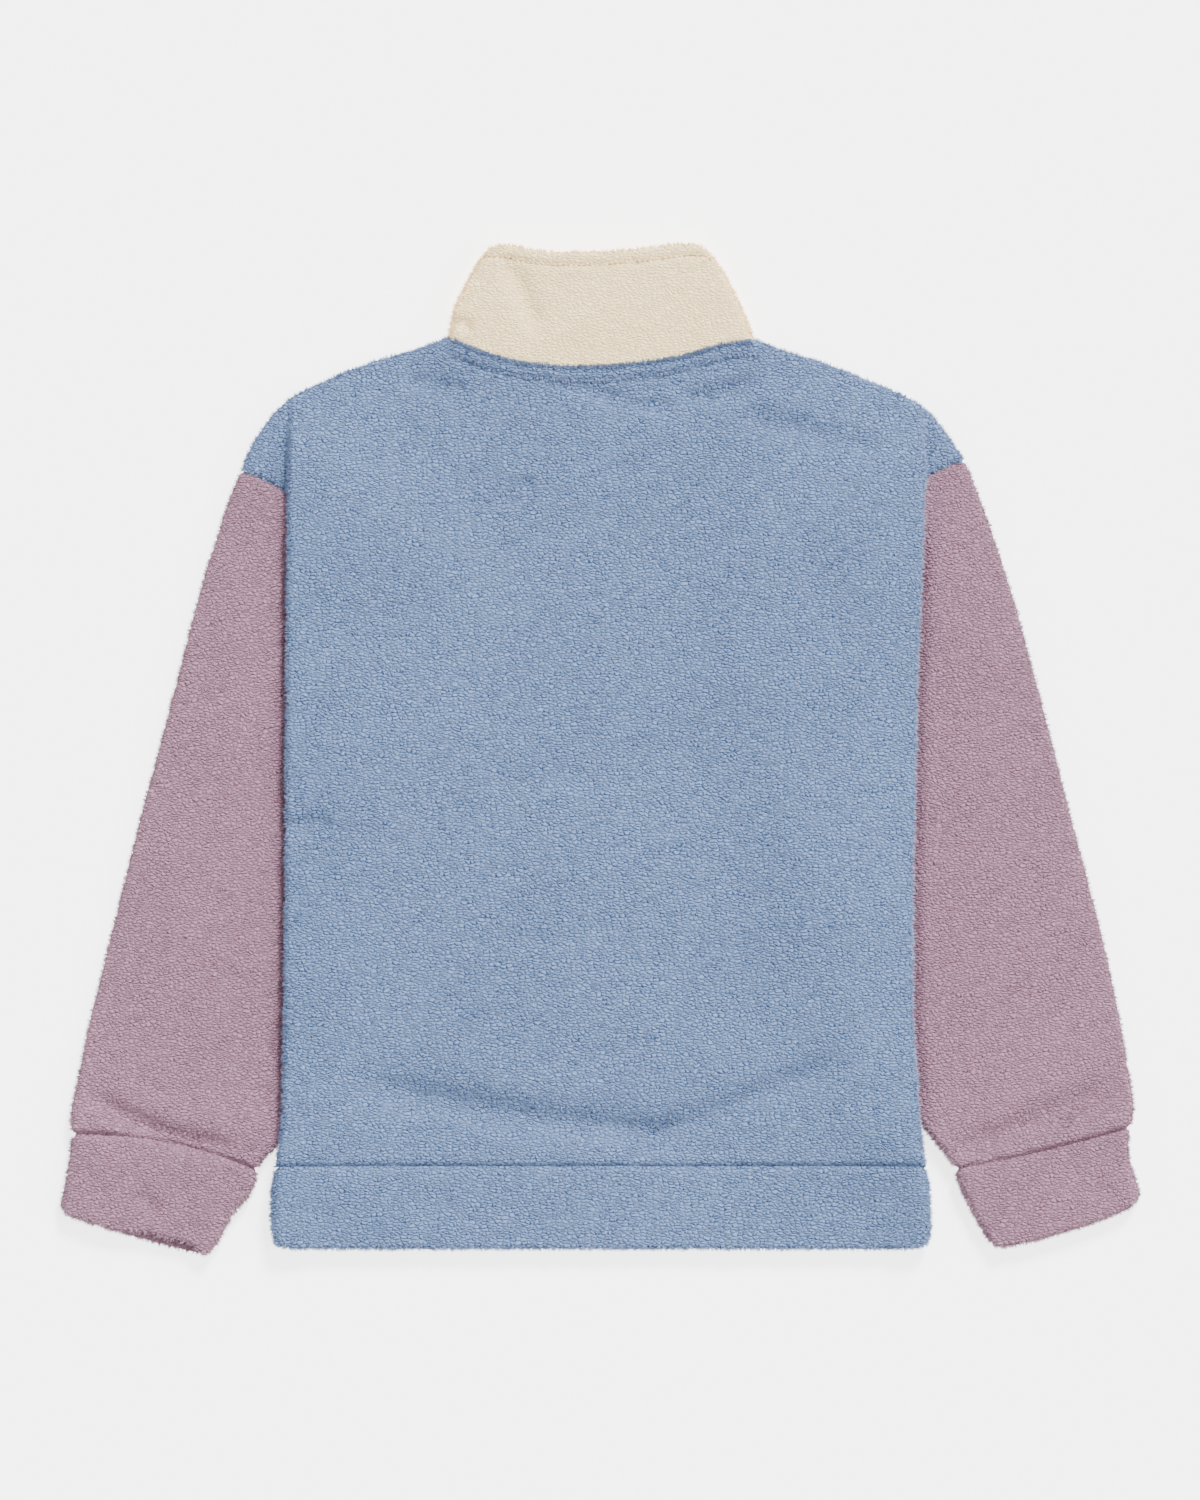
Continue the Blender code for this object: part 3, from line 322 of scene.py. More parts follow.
# Folds, as ridges (+) and troughs (-) along bowed lines: the large ones, then finer creases
BACK_FOLDS = (
    Fold(-210.0, -230.0, 96.0, -281.0, -9.0, -6.2, 12.0),
    Fold(6.0, -286.0, 190.0, -212.0, -7.0, -5.4, 10.0),
    Fold(-150.0, -206.0, 150.0, -196.0, -42.0, 1.5, 14.0),
    Fold(-150.0, -258.0, 120.0, -258.0, -26.0, 1.3, 8.0),
    Fold(176.0, -270.0, 206.0, -186.0, -6.0, -1.0, 8.0),
    Fold(54.0, 252.0, 118.0, 268.0, -2.0, -4.2, 5.4),
    Fold(-6.0, 254.0, 62.0, 248.0, -3.0, -2.9, 4.8),
    Fold(-32.0, 261.0, 26.0, 256.0, -2.0, -2.2, 4.4),
    Fold(92.0, 243.0, 208.0, 217.0, -3.0, -4.6, 10.0),
    Fold(-144.0, 268.0, -92.0, 259.0, -2.0, -4.6, 8.0),
    Fold(-150.0, 231.0, -130.0, 229.0, 0.0, -1.0, 6.0),
    Fold(-72.0, 176.0, -48.0, 196.0, 0.0, -3.0, 6.5),
    Fold(-15.0, 160.0, -1.0, 94.0, 2.0, -0.8, 5.0),
    Fold(-230.0, -58.0, -190.0, -52.0, 1.0, -3.8, 6.5),
    Fold(-156.0, -50.0, -146.0, -74.0, 1.0, -0.9, 5.0),
    Fold(-92.0, -25.0, 12.0, -24.0, 3.0, -1.6, 9.0),
    Fold(-88.0, -137.0, 10.0, -129.0, -2.0, -1.3, 7.0),
    Fold(70.0, -79.0, 90.0, -82.0, 0.0, -0.8, 6.0),
    Fold(-88.0, 190.0, -84.0, -60.0, 3.0, -0.4, 6.0),
    Fold(112.0, -25.0, 160.0, -25.0, 0.0, 1.0, 12.0),
    Fold(28.0, 204.0, 40.0, 156.0, 2.0, 0.9, 12.0),
    Fold(-156.0, 140.0, -104.0, 120.0, -4.0, 1.1, 20.0),
    Fold(-50.0, 140.0, -38.0, 106.0, 1.0, 0.7, 11.0),
    Fold(116.0, 130.0, 206.0, 70.0, 8.0, -1.0, 26.0),
    Fold(60.0, -150.0, 200.0, -130.0, 6.0, -0.5, 9.0),
)
FRONT_FOLDS = (
    Fold(-150.0, -240.0, -30.0, -262.0, -10.0, 0.6, 10.0),
    Fold(30.0, -258.0, 150.0, -236.0, -10.0, 0.6, 10.0),
    Fold(-140.0, 60.0, -40.0, 90.0, 8.0, 0.5, 9.0),
    Fold(44.0, 40.0, 140.0, 70.0, 8.0, 0.5, 9.0),
)
COLLAR_FOLDS = (
    Fold(-72.0, 358.0, -44.0, 296.0, 3.0, -4.2, 8.0),
    Fold(-110.0, 309.0, -90.0, 305.0, 0.0, -2.6, 4.0),
)
HEM_FOLDS = (
    Fold(-226.0, -326.0, -176.0, -343.0, -2.0, -1.0, 9.0),
    Fold(150.0, -333.0, 226.0, -316.0, 2.0, -0.9, 10.0),
    Fold(-60.0, -328.0, 40.0, -330.0, 3.0, 0.5, 12.0),
)
ARM_FOLDS = (
    Fold(-380.0, -240.0, -244.0, -288.0, -12.0, -6.4, 8.5),
    Fold(-376.0, -262.0, -268.0, -289.0, -6.0, 0.6, 4.0),
    Fold(-366.0, -206.0, -268.0, -238.0, -8.0, 0.9, 9.0),
    Fold(380.0, -238.0, 246.0, -295.0, 1.0, -6.6, 10.0),
    Fold(372.0, -256.0, 262.0, -294.0, -2.0, 0.6, 4.0),
    Fold(-336.0, -96.0, -312.0, -104.0, 0.0, -0.8, 7.0),
    Fold(252.0, 60.0, 268.0, -60.0, 6.0, 0.7, 14.0),
    Fold(-334.0, -318.0, -316.0, -336.0, 0.0, -3.0, 6.5),
    Fold(-372.0, -296.0, -352.0, -322.0, -3.0, -0.9, 6.0),
    Fold(322.0, -290.0, 372.0, -322.0, -3.0, -0.9, 10.0),
)

# How far a sleeve is pressed down beside the body, and over what width
PRESS = {"left": (3.0, 10.0), "right": (3.6, 6.0)}

# The armhole's fold: the share of the lift by distance inside it, for the back, and where it starts
# and how long it is for the fronts, where the edge's roll fades into it and how far round a roll goes
STEP_RISE = ((-2.8, 0.0), (-1.4, 0.16), (-0.2, 0.62), (1.0, 0.89), (2.4, 0.98), (3.7, 1.0))
FRONT_STEP_START = 2.0
FRONT_STEP_LENGTH = 26.0
EDGE_JOIN = 12.0
ROLL_END = 1.9

# Grids: samples along an outline and the reach of its slope, how much outline a shoulder's cap has,
# columns over the armhole's step, rows round a roll, round a rim and back inside it, the height of
# the first cells and their share of a whole one, what a sleeve's lower and upper layers and a cuff's
# measure across, a sleeve's cells where it is hidden, where the fronts run straight along the zip
# (from, over), and the columns round the turned edges of a tube and of a band
OUTLINE_SAMPLES = 240
OUTLINE_REACH = 5.0
CAP_WIDTH = 58.0
STEP_COLUMNS = 9
ROLL_ROWS = 9
RIM_ROWS = 11
INSIDE_ROWS = 5
FINE_CELL = 0.6
FINE_SHARE = 0.45
SLEEVE_UNDER = 105.0
SLEEVE_OVER = 135.0
CUFF_WIDTH = 130.0
HIDDEN_CELLS = 10
NEAR_ZIP = (60.0, 50.0)
TUBE_TURN = 10
BAND_TURN = 12

# What shows of a sleeve beside the body: the share across it at which the body's edge is taken, the
# margin beyond it and the least and the most, and a cuff's. Then the least width that swells, in
# millimetres, the crown from which a sleeve is pressed in full, and the sharpest corner
SHOWN_AT = 0.3
SHOWN_MARGIN = 0.09
SHOWN_SHARES = (0.2, 0.985)
CUFF_SHOWN = 0.98
LEAST_SHOWN = 20.0
PRESS_CROWN = 0.8
SHARPEST_CORNER = 1e-3

# Soft lights: name, direction round from the hem's side, height, strength and width, in degrees
LIGHTS = (
    ("key", 160.0, 36.0, 8.9, 16.0), ("left", -80.0, 33.0, 1.5, 40.0),
    ("right", 80.0, 33.0, 2.8, 34.0),
)
SKY_STRENGTH = 0.59
WHITE = (1.0, 1.0, 1.0, 1.0)

# The floor: half its side and its level, in metres, and its glow. The camera: its level and its reach,
# in metres, and its lens and sensor, in millimetres
FLOOR_HALF = 6.0
FLOOR_LEVEL = -0.0002
FLOOR_GLOW = 3.0
CAMERA_LEVEL = 6.0 + 0.010
CAMERA_REACH = 50.0
CAMERA_LENS = 200.0
CAMERA_SENSOR = 36.0

# Stitching: how far below the neck seam and below the collar's edge the lines run, and the welt that
# the seam's folded edge raises as far as the neck's stitches: its height and the length of its fall.
# Then a stitch's pitch, profile (along, thickness), sink and sides, how far round it the cloth's level
# is taken, and how far from a seam's ends the lines stop
NECK_STITCH = 10.0
WELT = (1.5, 2.8)
COLLAR_STITCH = 9.5
STITCH_PITCH = 3.7
STITCH = ((-0.5, 0.0), (-0.3, 0.8), (0.0, 1.0), (0.3, 0.8), (0.5, 0.0))
STITCH_SINK = 0.5
THREAD_SIDES = 6
THREAD_REACH = 1.3
THREAD_MARGIN = 3.0

# Fuzz over the neck seam: its tufts and seed, the samples along this line and along the collar's, how
# far below the seam the cloth's level is taken, how far above that level and below the seam the strip
# that it is rooted on lies, and the strip's width
NECK_TUFTS = 1000
NECK_SEED = 13
NECK_SAMPLES = 160
COLLAR_SAMPLES = 120
NECK_LEVEL_AT = 2.4
NECK_STRIP_ABOVE = 0.6
NECK_STRIP_BELOW = 0.5
STRIP_WIDTH = 0.9

# The zip: its chain's ends, levels and pitch, and a tooth's outline as (reach, half width)
CHAIN_ENDS = (-343.8, 310.3)
CHAIN_Z = (3.6, 5.0)
TOOTH_PITCH = 3.2
TOOTH_BEVEL = 0.25
TOOTH_DRAWN_IN = 0.84
CHAIN_MARGIN = 0.7
TOOTH = (
    (2.55, 0.62), (0.75, 0.42), (0.2, 0.66), (-0.55, 0.66), (-0.95, 0.3), (-0.95, -0.3),
    (-0.55, -0.66), (0.2, -0.66), (0.75, -0.42), (2.55, -0.62),
)


# ---------------------------------------------------------------- curves and levels

def smooth(value):
    """0 below 0, 1 above 1, with a level start and end."""
    value = np.clip(value, 0.0, 1.0)
    return value * value * (3.0 - 2.0 * value)


def mix(first, second, share):
    """The value this share of the way from the first to the second."""
    return first + (second - first) * share


def curve(table, value):
    """Cubic pieces through the rows, with harmonic-mean slopes, held level past the ends."""
    place, height = np.array(table, float).T
    secant = np.diff(height) / np.diff(place)
    product = secant[:-1] * secant[1:]
    total = np.where(product > 0, secant[:-1] + secant[1:], 1.0)
    inner = np.where(product > 0, 2 * product / total, 0.0)
    slope = np.concatenate([secant[:1], inner, secant[-1:]])
    value = np.clip(value, place[0], place[-1])
    index = np.clip(np.searchsorted(place, value, side="right") - 1, 0, len(place) - 2)
    length = np.diff(place)[index]
    t = (value - place[index]) / length
    first = 2 * t ** 3 - 3 * t ** 2 + 1
    lead = (t ** 3 - 2 * t ** 2 + t) * length * slope[index]
    trail = (t ** 3 - t ** 2) * length * slope[index + 1]
    return height[index] * first + height[index + 1] * (1 - first) + lead + trail


def graded(start, end, cell, fine=FINE_CELL, fine_cells=4):
    """Positions from start to end: a few fine cells at each end and even ones between."""
    ends = np.arange(fine_cells + 1) * fine
    sign = 1.0 if end > start else -1.0
    inner = abs(end - start) - 2 * ends[-1]
    count = max(int(round(inner / cell)), 1)
    middle = np.linspace(ends[-1], ends[-1] + inner, count + 1)[1:-1]
    return start + sign * np.concatenate([ends, middle, ends[-1] + inner + ends])


def side_x(side, y):
    """X of the body's side edge at y."""
    return curve(SIDES[side], y)


def armhole(side, x):
    """Y of the armhole seam at x: a straight line with a bow."""
    first = SLEEVES[side][0]
    share = (x - first.outer_x) / (first.inner_x - first.outer_x)
    return mix(first.outer_y, first.inner_y, share) + first.bow * 4 * share * (1 - share)


def split(x):
    """Y of the armhole seams, and of a level line between them."""
    level = np.full(np.shape(x), ARMHOLE_LEVEL)
    for side in SIDES:
        near = np.abs(x - SLEEVES[side][0].outer_x) < ARMHOLE_REACH
        level = np.where(near, np.maximum(level, armhole(side, x)), level)
    return level


def crease_x(side):
    """X of the fold at the armhole, where the side edge meets the shoulder's cap."""
    return float(side_x(side, split(np.array(CREASE_SPOT[side]))))


def over_neck(neck, x, margin, fade):
    """1 between the neckline's ends, falling smoothly to 0 past them."""
    return smooth((x - neck[0][0] + margin) / fade) * smooth((neck[-1][0] + margin - x) / fade)


def edge_y(front, x):
    """Y of a panel's upper outline: shoulder, neckline, shoulder."""
    neck = NECK_FRONT if front else NECK_BACK
    on_neck = over_neck(neck, x, margin=2, fade=4)
    shoulder = np.where(x < 0, curve(SHOULDERS["left"], x), curve(SHOULDERS["right"], x))
    return mix(shoulder, curve(neck, x), on_neck)


def inner_edge(side, y):
    """X of the folded sleeve's inner edge at y."""
    rows = sorted((row.inner_y, row.inner_x) for row in SLEEVES[side] + CUFFS[side][1:])
    return curve(rows, y)


def lift(x, y):
    """How far the body climbs over a sleeve: full on it, fading by a smooth ramp beside it."""
    height = np.zeros(np.broadcast(x, y).shape)
    for side, sign in (("left", 1.0), ("right", -1.0)):
        beyond = sign * (x - inner_edge(side, y)) * SLEEVE_SLANT
        above = (y - armhole(side, x)) * ARMHOLE_SLANT
        corner = np.hypot(beyond, above)
        clear = np.where((beyond > 0) & (above > 0), corner, np.maximum(beyond, above))
        here = LIFT * (1 - smooth((clear - RAMP_START) / RAMP_LENGTH))
        height = np.where(sign * x < 0, here, height)
    return height


def fold_height(folds, x, y):
    """Sum of ridges: a bell across each bowed line, times a fade at its two ends."""
    total = np.zeros(np.broadcast(x, y).shape)
    for fold in folds:
        along_x = fold.x1 - fold.x0
        along_y = fold.y1 - fold.y0
        length = np.hypot(along_x, along_y)
        share = ((x - fold.x0) * along_x + (y - fold.y0) * along_y) / length ** 2
        offset = ((y - fold.y0) * along_x - (x - fold.x0) * along_y) / length
        bowed = offset - fold.sag * 4 * share * (1 - share)
        fade = smooth(share / FOLD_FADE) * smooth((1 - share) / FOLD_FADE)
        total += fold.height * fade * np.exp(-(bowed / fold.width) ** 2)
    return total


def near_hem(y):
    """1 at the hem seam, falling to 0 above it."""
    return 1 - smooth((y - HEM_SEAM) / BAND_FADE)


def below_neck(neck, x, y):
    """Distance from the neck seam, down into the panel and out along the shoulders."""
    half = (neck[-1][0] - neck[0][0]) / 2
    middle = (neck[-1][0] + neck[0][0]) / 2
    past = np.maximum(np.abs(x - middle) - half, 0.0)
    below = np.maximum(curve(neck, x) - y, 0.0)
    return np.hypot(past, below)


def front_level(x, y):
    """Middle of the fronts' cloth above the surface, before the lift."""
    near_neck = 1 - smooth(below_neck(NECK_FRONT, x, y) / BAND_FADE)
    return mix(PLY / 2, FOLDED / 2, np.maximum(near_hem(y), near_neck))


def spread(x, y):
    """From the middle of the fronts' cloth up to the middle of the back's."""
    from_side = np.minimum(x - side_x("left", y), side_x("right", y) - x)
    from_top = edge_y(False, x) - y
    open_share = smooth(from_side / LOFT_FROM_SIDE) * smooth(from_top / LOFT_FROM_TOP)
    near_neck = 1 - smooth(below_neck(NECK_BACK, x, y) / BAND_FADE)
    loft = LOFT * open_share
    level = mix(BODY_SPREAD + loft, BAND_SPREAD, near_hem(y))
    return mix(level, BAND_SPREAD + NECK_LOFT * open_share, near_neck)


def seam_fall(distance, depth, width):
    """A seam's valley: a bell as deep as depth at the seam."""
    return depth * np.exp(-(distance / width) ** 2)


# ---------------------------------------------------------------- pile

def corner_turn(column, row, seed):
    """A repeatable angle for each corner of a lattice, from an integer hash."""
    mask = np.int64(0xFFFFFFFF)
    key = (column * 374761393 + row * 668265263 + seed * 974711) & mask
    key = ((key ^ (key >> 13)) * 1274126177) & mask
    key = (key ^ (key >> 16)) & mask
    return key * (2 * np.pi / 4294967296.0)


def wander(x, y, seed):
    """Gradient noise: each corner's slope carried to the point, blended by a quintic."""
    column = np.floor(x).astype(np.int64)
    row = np.floor(y).astype(np.int64)
    fx = x - column
    fy = y - row
    blend_x = fx ** 3 * (fx * (fx * 6 - 15) + 10)
    blend_y = fy ** 3 * (fy * (fy * 6 - 15) + 10)

    def slope(dx, dy):
        turn = corner_turn(column + dx, row + dy, seed)
        return np.cos(turn) * (fx - dx) + np.sin(turn) * (fy - dy)

    lower = mix(slope(0, 0), slope(1, 0), blend_x)
    upper = mix(slope(0, 1), slope(1, 1), blend_x)
    return mix(lower, upper, blend_y)


def curls(points, turn, length, width, seed):
    """Curled locks: two gradient noises stretched along the nap, on a plane pushed about slowly."""
    x = points[:, 0] + HEIGHT_SHIFT[0] * points[:, 2]
    y = points[:, 1] + HEIGHT_SHIFT[1] * points[:, 2]
    amount, wave = BEND_WAVE
    bend = turn + amount * wander(x / wave, y / wave, seed)
    (push_x, wave_x), (push_y, wave_y) = PUSH_WAVES
    x = x + push_x * wander(x / wave_x, y / wave_x, seed + 1)
    y = y + push_y * wander(x / wave_y, y / wave_y, seed + 2)
    along = x * np.cos(turn) + y * np.sin(turn)
    across = y * np.cos(turn) - x * np.sin(turn) + BEND_REACH * (bend - turn)
    locks = wander(along / length, across / width, seed + 3)
    tufts = wander(along / (TUFT_SIZE[0] * length), across / (TUFT_SIZE[1] * width), seed + 4)
    return LOCK_HEIGHT * locks + TUFT_HEIGHT * tufts


def values_of(items, field, size=3):
    """One field of all of a mesh's vertices or faces, as an array of rows."""
    values = np.empty(len(items) * size)
    items.foreach_get(field, values)
    return values.reshape(-1, size)


def raise_pile(mesh, turn, sizes, seed, strength=1.0, sewn=(0, 0)):
    """Move each vertex along its normal by the curls, and store how deep it lies between them. The
    first and the last vertices, as many as sewn says, lie in a seam: they only move outward."""
    count = len(mesh.vertices)
    places = values_of(mesh.vertices, "co") / MM
    normals = values_of(mesh.vertex_normals, "vector")
    height = curls(places, turn, sizes.curl_length / MM, sizes.curl_width / MM, seed)
    deep = smooth((-height - HOLLOW_FROM) / HOLLOW_OVER)
    raised = strength * sizes.pile_height / MM * (height - HOLLOW_DROP * deep)
    at_edge = smooth((EDGE_TURN[0] - np.abs(normals[:, 2])) / EDGE_TURN[1])
    raised = raised * (1 + EDGE_LUMPS * at_edge)
    raised[:sewn[0]] = np.maximum(raised[:sewn[0]], 0.0)
    raised[count - sewn[1]:] = np.maximum(raised[count - sewn[1]:], 0.0)
    moved = places + normals * raised[:, None]
    moved[:, 2] = np.maximum(moved[:, 2], LOWEST_CLOTH)
    mesh.vertices.foreach_set("co", (moved * MM).ravel())
    # The depth between the curls is kept for the materials, which paint shade into these hollows
    layer = mesh.attributes.new("between", "FLOAT", "POINT")
    layer.data.foreach_set("value", deep.astype(np.float32))
    mesh.update()


# ---------------------------------------------------------------- meshes and pieces

def surface(name, points, closed=False, keep=None, flip=False):
    """A mesh of quads through a grid of points; keep says which cells it has."""
    rows, columns = points.shape[:2]
    index = np.arange(rows * columns).reshape(rows, columns)
    if closed:
        index = np.hstack([index, index[:, :1]])
    corners = [index[:-1, :-1], index[:-1, 1:], index[1:, 1:], index[1:, :-1]]
    if flip:
        corners.reverse()
    quads = np.stack(corners, axis=-1)
    quads = quads[keep] if keep is not None else quads.reshape(-1, 4)
    used, quads = np.unique(quads, return_inverse=True)
    mesh = bpy.data.meshes.new(name)
    places = points.reshape(-1, 3)[used] * MM
    mesh.from_pydata(places, [], quads.reshape(-1, 4))
    mesh.shade_smooth()
    return mesh


def place(name, mesh, material, slot, body=JACKET_BODY, nodes=()):
    """Link a finished mesh, ride it on its body and hide the CAD parts that it stands for."""
    piece = bpy.data.objects.new(name, mesh)
    mesh.materials.clear()
    mesh.materials.append(material)
    bpy.context.scene.collection.objects.link(piece)
    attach(piece, body)
    if nodes:
        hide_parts(*nodes)
    return piece


def resampled(x, y, count):
    """Points evenly spaced along a line."""
    reach = np.concatenate([[0.0], np.cumsum(np.hypot(np.diff(x), np.diff(y)))])
    at = np.linspace(0.0, reach[-1], count)
    return np.interp(at, reach, x), np.interp(at, reach, y)


def fringe(name, mesh, tufts, sizes, seed, bare=(0, 0)):
    """Tufts of tapered three-sided fibres, rooted at random where the cloth's face turns away from
    level, and standing along its normal: each fibre leans in to its own tuft's tip. The first and the
    last faces of the mesh, as many as bare says, have none."""
    count = len(mesh.polygons)
    middle = values_of(mesh.polygons, "center") / MM
    normal = values_of(mesh.polygons, "normal")
    area = values_of(mesh.polygons, "area", 1)[:, 0]
    start, over, lowest = FUZZ_TURN
    weight = area * smooth((start - np.abs(normal[:, 2])) / over) * (normal[:, 2] > lowest)
    weight[:bare[0]] = 0.0
    weight[count - bare[1]:] = 0.0
    random = np.random.default_rng(seed)
    pick = random.choice(count, tufts, p=weight / weight.sum())
    normal, root = normal[pick], middle[pick]
    level = np.stack([-normal[:, 1], normal[:, 0], 0 * pick], axis=-1)
    level /= np.linalg.norm(level, axis=1, keepdims=True) + 1e-9
    slope = np.cross(normal, level)
    spread_by = random.uniform(-1.0, 1.0, (2, tufts, 1))
    root = root + spread_by[0] * level + spread_by[1] * slope
    lean = normal + TUFT_LEAN * random.normal(size=(tufts, 3))
    lean /= np.linalg.norm(lean, axis=1, keepdims=True)
    length = sizes.fuzz_length / MM * random.uniform(*TUFT_LENGTHS, (tufts, 1))
    tip = root + lean * length

    fibres = tufts * FIBRES
    level, slope = (np.repeat(axis, FIBRES, axis=0) for axis in (level, slope))
    wide = random.uniform(-ROOT_SPREAD, ROOT_SPREAD, (2, fibres, 1))
    base = np.repeat(root - ROOT_DEPTH * normal, FIBRES, axis=0) + wide[0] * level + wide[1] * slope
    point = np.repeat(tip, FIBRES, axis=0) + random.uniform(-TIP_SPREAD, TIP_SPREAD, (fibres, 3))
    point[:, 2] = np.maximum(point[:, 2], LOWEST_TIP)
    base[:, 2] = np.maximum(base[:, 2], LOWEST_ROOT)
    thick = sizes.fibre_width / MM / 2
    corners = [base + thick * (np.cos(turn) * level + np.sin(turn) * slope)
               for turn in (0.0, 2 * np.pi / 3, 4 * np.pi / 3)]
    places = np.stack(corners + [point], axis=1).reshape(-1, 3)
    first = 4 * np.arange(fibres)[:, None, None]
    faces = (first + np.array([[0, 1, 3], [1, 2, 3], [2, 0, 3]])).reshape(-1, 3)
    hairs = bpy.data.meshes.new(name)
    hairs.from_pydata(places * MM, [], faces)
    return hairs


def seam_tufts(name, x, y, z, tufts, sizes, seed):
    """Tufts along a seam, rooted on a narrow strip that faces up and over it."""
    across = np.array([0.0, 0.5, 1.0])[:, None]
    over = STRIP_WIDTH * across
    strip = surface(name, np.stack(np.broadcast_arrays(x, y + over, z - over), -1))
    hairs = fringe(name, strip, tufts, sizes, seed)
    bpy.data.meshes.remove(strip)
    return hairs


def level_under(mesh, x, y):
    """Height of the mesh's highest vertex within the thread's reach of each point."""
    places = values_of(mesh.vertices, "co") / MM
    apart = np.hypot(places[:, 0] - x[:, None], places[:, 1] - y[:, None])
    return np.max(np.where(apart < THREAD_REACH, places[:, 2], 0.0), axis=1)


def stitches(name, cloth, x, y, sizes):
    """Thread along a line: closed spindles, each of three rings of six between two points, laid on
    the cloth under it with its ends pulled in."""
    reach = np.hypot(np.diff(x), np.diff(y)).sum()
    x, y = resampled(x, y, int(reach / STITCH_PITCH))
    count = len(x)
    along = np.stack([np.gradient(x), np.gradient(y), 0 * x], axis=-1)
    along /= np.linalg.norm(along, axis=1, keepdims=True)
    beside = np.stack([-along[:, 1], along[:, 0], 0 * x], axis=-1)
    middle = np.stack([x, y, level_under(cloth, x, y)], axis=-1)
    up = np.array([0.0, 0.0, 1.0])
    places = []
    for step, thick in STITCH:
        centre = middle + along * step * sizes.stitch_length / MM - up * STITCH_SINK * (2 * step) ** 2
        for turn in np.linspace(0.0, 2 * np.pi, THREAD_SIDES, endpoint=False) if thick else (0.0,):
            ring = thick * sizes.thread_width / MM / 2
            places.append(centre + ring * (np.cos(turn) * beside + np.sin(turn) * up))
    around_it = np.arange(THREAD_SIDES)
    near, far = 1 + around_it, 1 + (around_it + 1) % THREAD_SIDES
    last = 0 * near + 1 + 3 * THREAD_SIDES
    corners = [np.stack([0 * near, far, near, near], -1)]
    for ring in (0, THREAD_SIDES):
        corners.append(np.stack([near, far, far + THREAD_SIDES, near + THREAD_SIDES], -1) + ring)
    corners.append(np.stack([near + 2 * THREAD_SIDES, far + 2 * THREAD_SIDES, last, last], -1))
    first = (last[0] + 1) * np.arange(count)[:, None, None]
    faces = (first + np.concatenate(corners)[None]).reshape(-1, 4)
    faces = [tuple(dict.fromkeys(face)) for face in faces.tolist()]
    mesh = bpy.data.meshes.new(name)
    mesh.from_pydata(np.stack(places, axis=1).reshape(-1, 3) * MM, [], faces)
    mesh.shade_smooth()
    return mesh


def zip_teeth(name):
    """Two rows of teeth set half a pitch apart: each is an outline with a head and a neck, raised
    through four levels whose outer two are drawn in."""
    start, end = CHAIN_ENDS
    count = int((end - start) / TOOTH_PITCH)
    outline = np.array(TOOTH)
    middle = outline.mean(axis=0)
    low, high = CHAIN_Z
    levels = ((low, TOOTH_DRAWN_IN), (low + TOOTH_BEVEL, 1.0), (high - TOOTH_BEVEL, 1.0),
              (high, TOOTH_DRAWN_IN))
    corners = len(outline)
    ring, following = np.arange(corners), (np.arange(corners) + 1) % corners
    sides = [np.stack([ring, following, following + corners, ring + corners], -1) + corners * step
             for step in range(3)]
    sides = np.concatenate(sides)
    places, faces = [], []
    for sign, offset in ((-1.0, 0.0), (1.0, TOOTH_PITCH / 2)):
        y = start + TOOTH_PITCH / 2 + offset + TOOTH_PITCH * np.arange(count)
        y = y[y < end - CHAIN_MARGIN]
        tooth = np.concatenate([
            np.column_stack([middle + (outline - middle) * scale, np.full(corners, z)])
            for z, scale in levels
        ])
        tooth[:, 0] *= sign
        block = tooth[None] + np.stack([0 * y, y, 0 * y], axis=-1)[:, None]
        first = sum(len(part) for part in places) + 4 * corners * np.arange(len(y))
        turn = 1 if sign > 0 else -1
        for root in first.tolist():
            faces += [tuple(face[::turn]) for face in (sides + root).tolist()]
            faces.append(tuple((ring[::-turn] + root).tolist()))
            faces.append(tuple((ring[::turn] + root + 3 * corners).tolist()))
        places.append(block.reshape(-1, 3))
    mesh = bpy.data.meshes.new(name)
    mesh.from_pydata(np.concatenate(places) * MM, [], faces)
    return mesh


# ---------------------------------------------------------------- body panels

def outward(front, x):
    """Unit normal of a panel's upper outline."""
    slope = (edge_y(front, x + OUTLINE_REACH) - edge_y(front, x - OUTLINE_REACH)) / (2 * OUTLINE_REACH)
    length = np.hypot(slope, 1.0)
    return -slope / length, 1.0 / length


def column_block(front, side, kind, foot_x, outline_x, share, roll):
    """Columns of a panel: where each crosses the armhole row and the upper outline, the share of the
    lift that it has above the armhole, and how far round the side edge's roll it is."""
    neck = NECK_FRONT if front else NECK_BACK
    on_neck = over_neck(neck, outline_x, margin=2, fade=6)
    out_x, out_y = outward(front, outline_x)
    turn = mix(EDGE_ROLL, SEAM_ROLL, on_neck)
    count = len(foot_x)
    return {
        "foot_x": foot_x,
        "foot_y": split(foot_x) + SEAM,
        "top_x": outline_x - out_x * turn,
        "top_y": edge_y(front, outline_x) - out_y * turn,
        "out_x": out_x,
        "out_y": out_y,
        "turn": turn,
        "neck": on_neck,
        "share": share,
        "roll": roll,
        "sign": np.full(count, 1.0 if side == "left" else -1.0),
        "lower": np.full(count, kind != "cap"),
    }


def front_share(inside):
    """Share of the lift that a front has this far inside the armhole's fold."""
    return smooth((inside - FRONT_STEP_START) / FRONT_STEP_LENGTH)


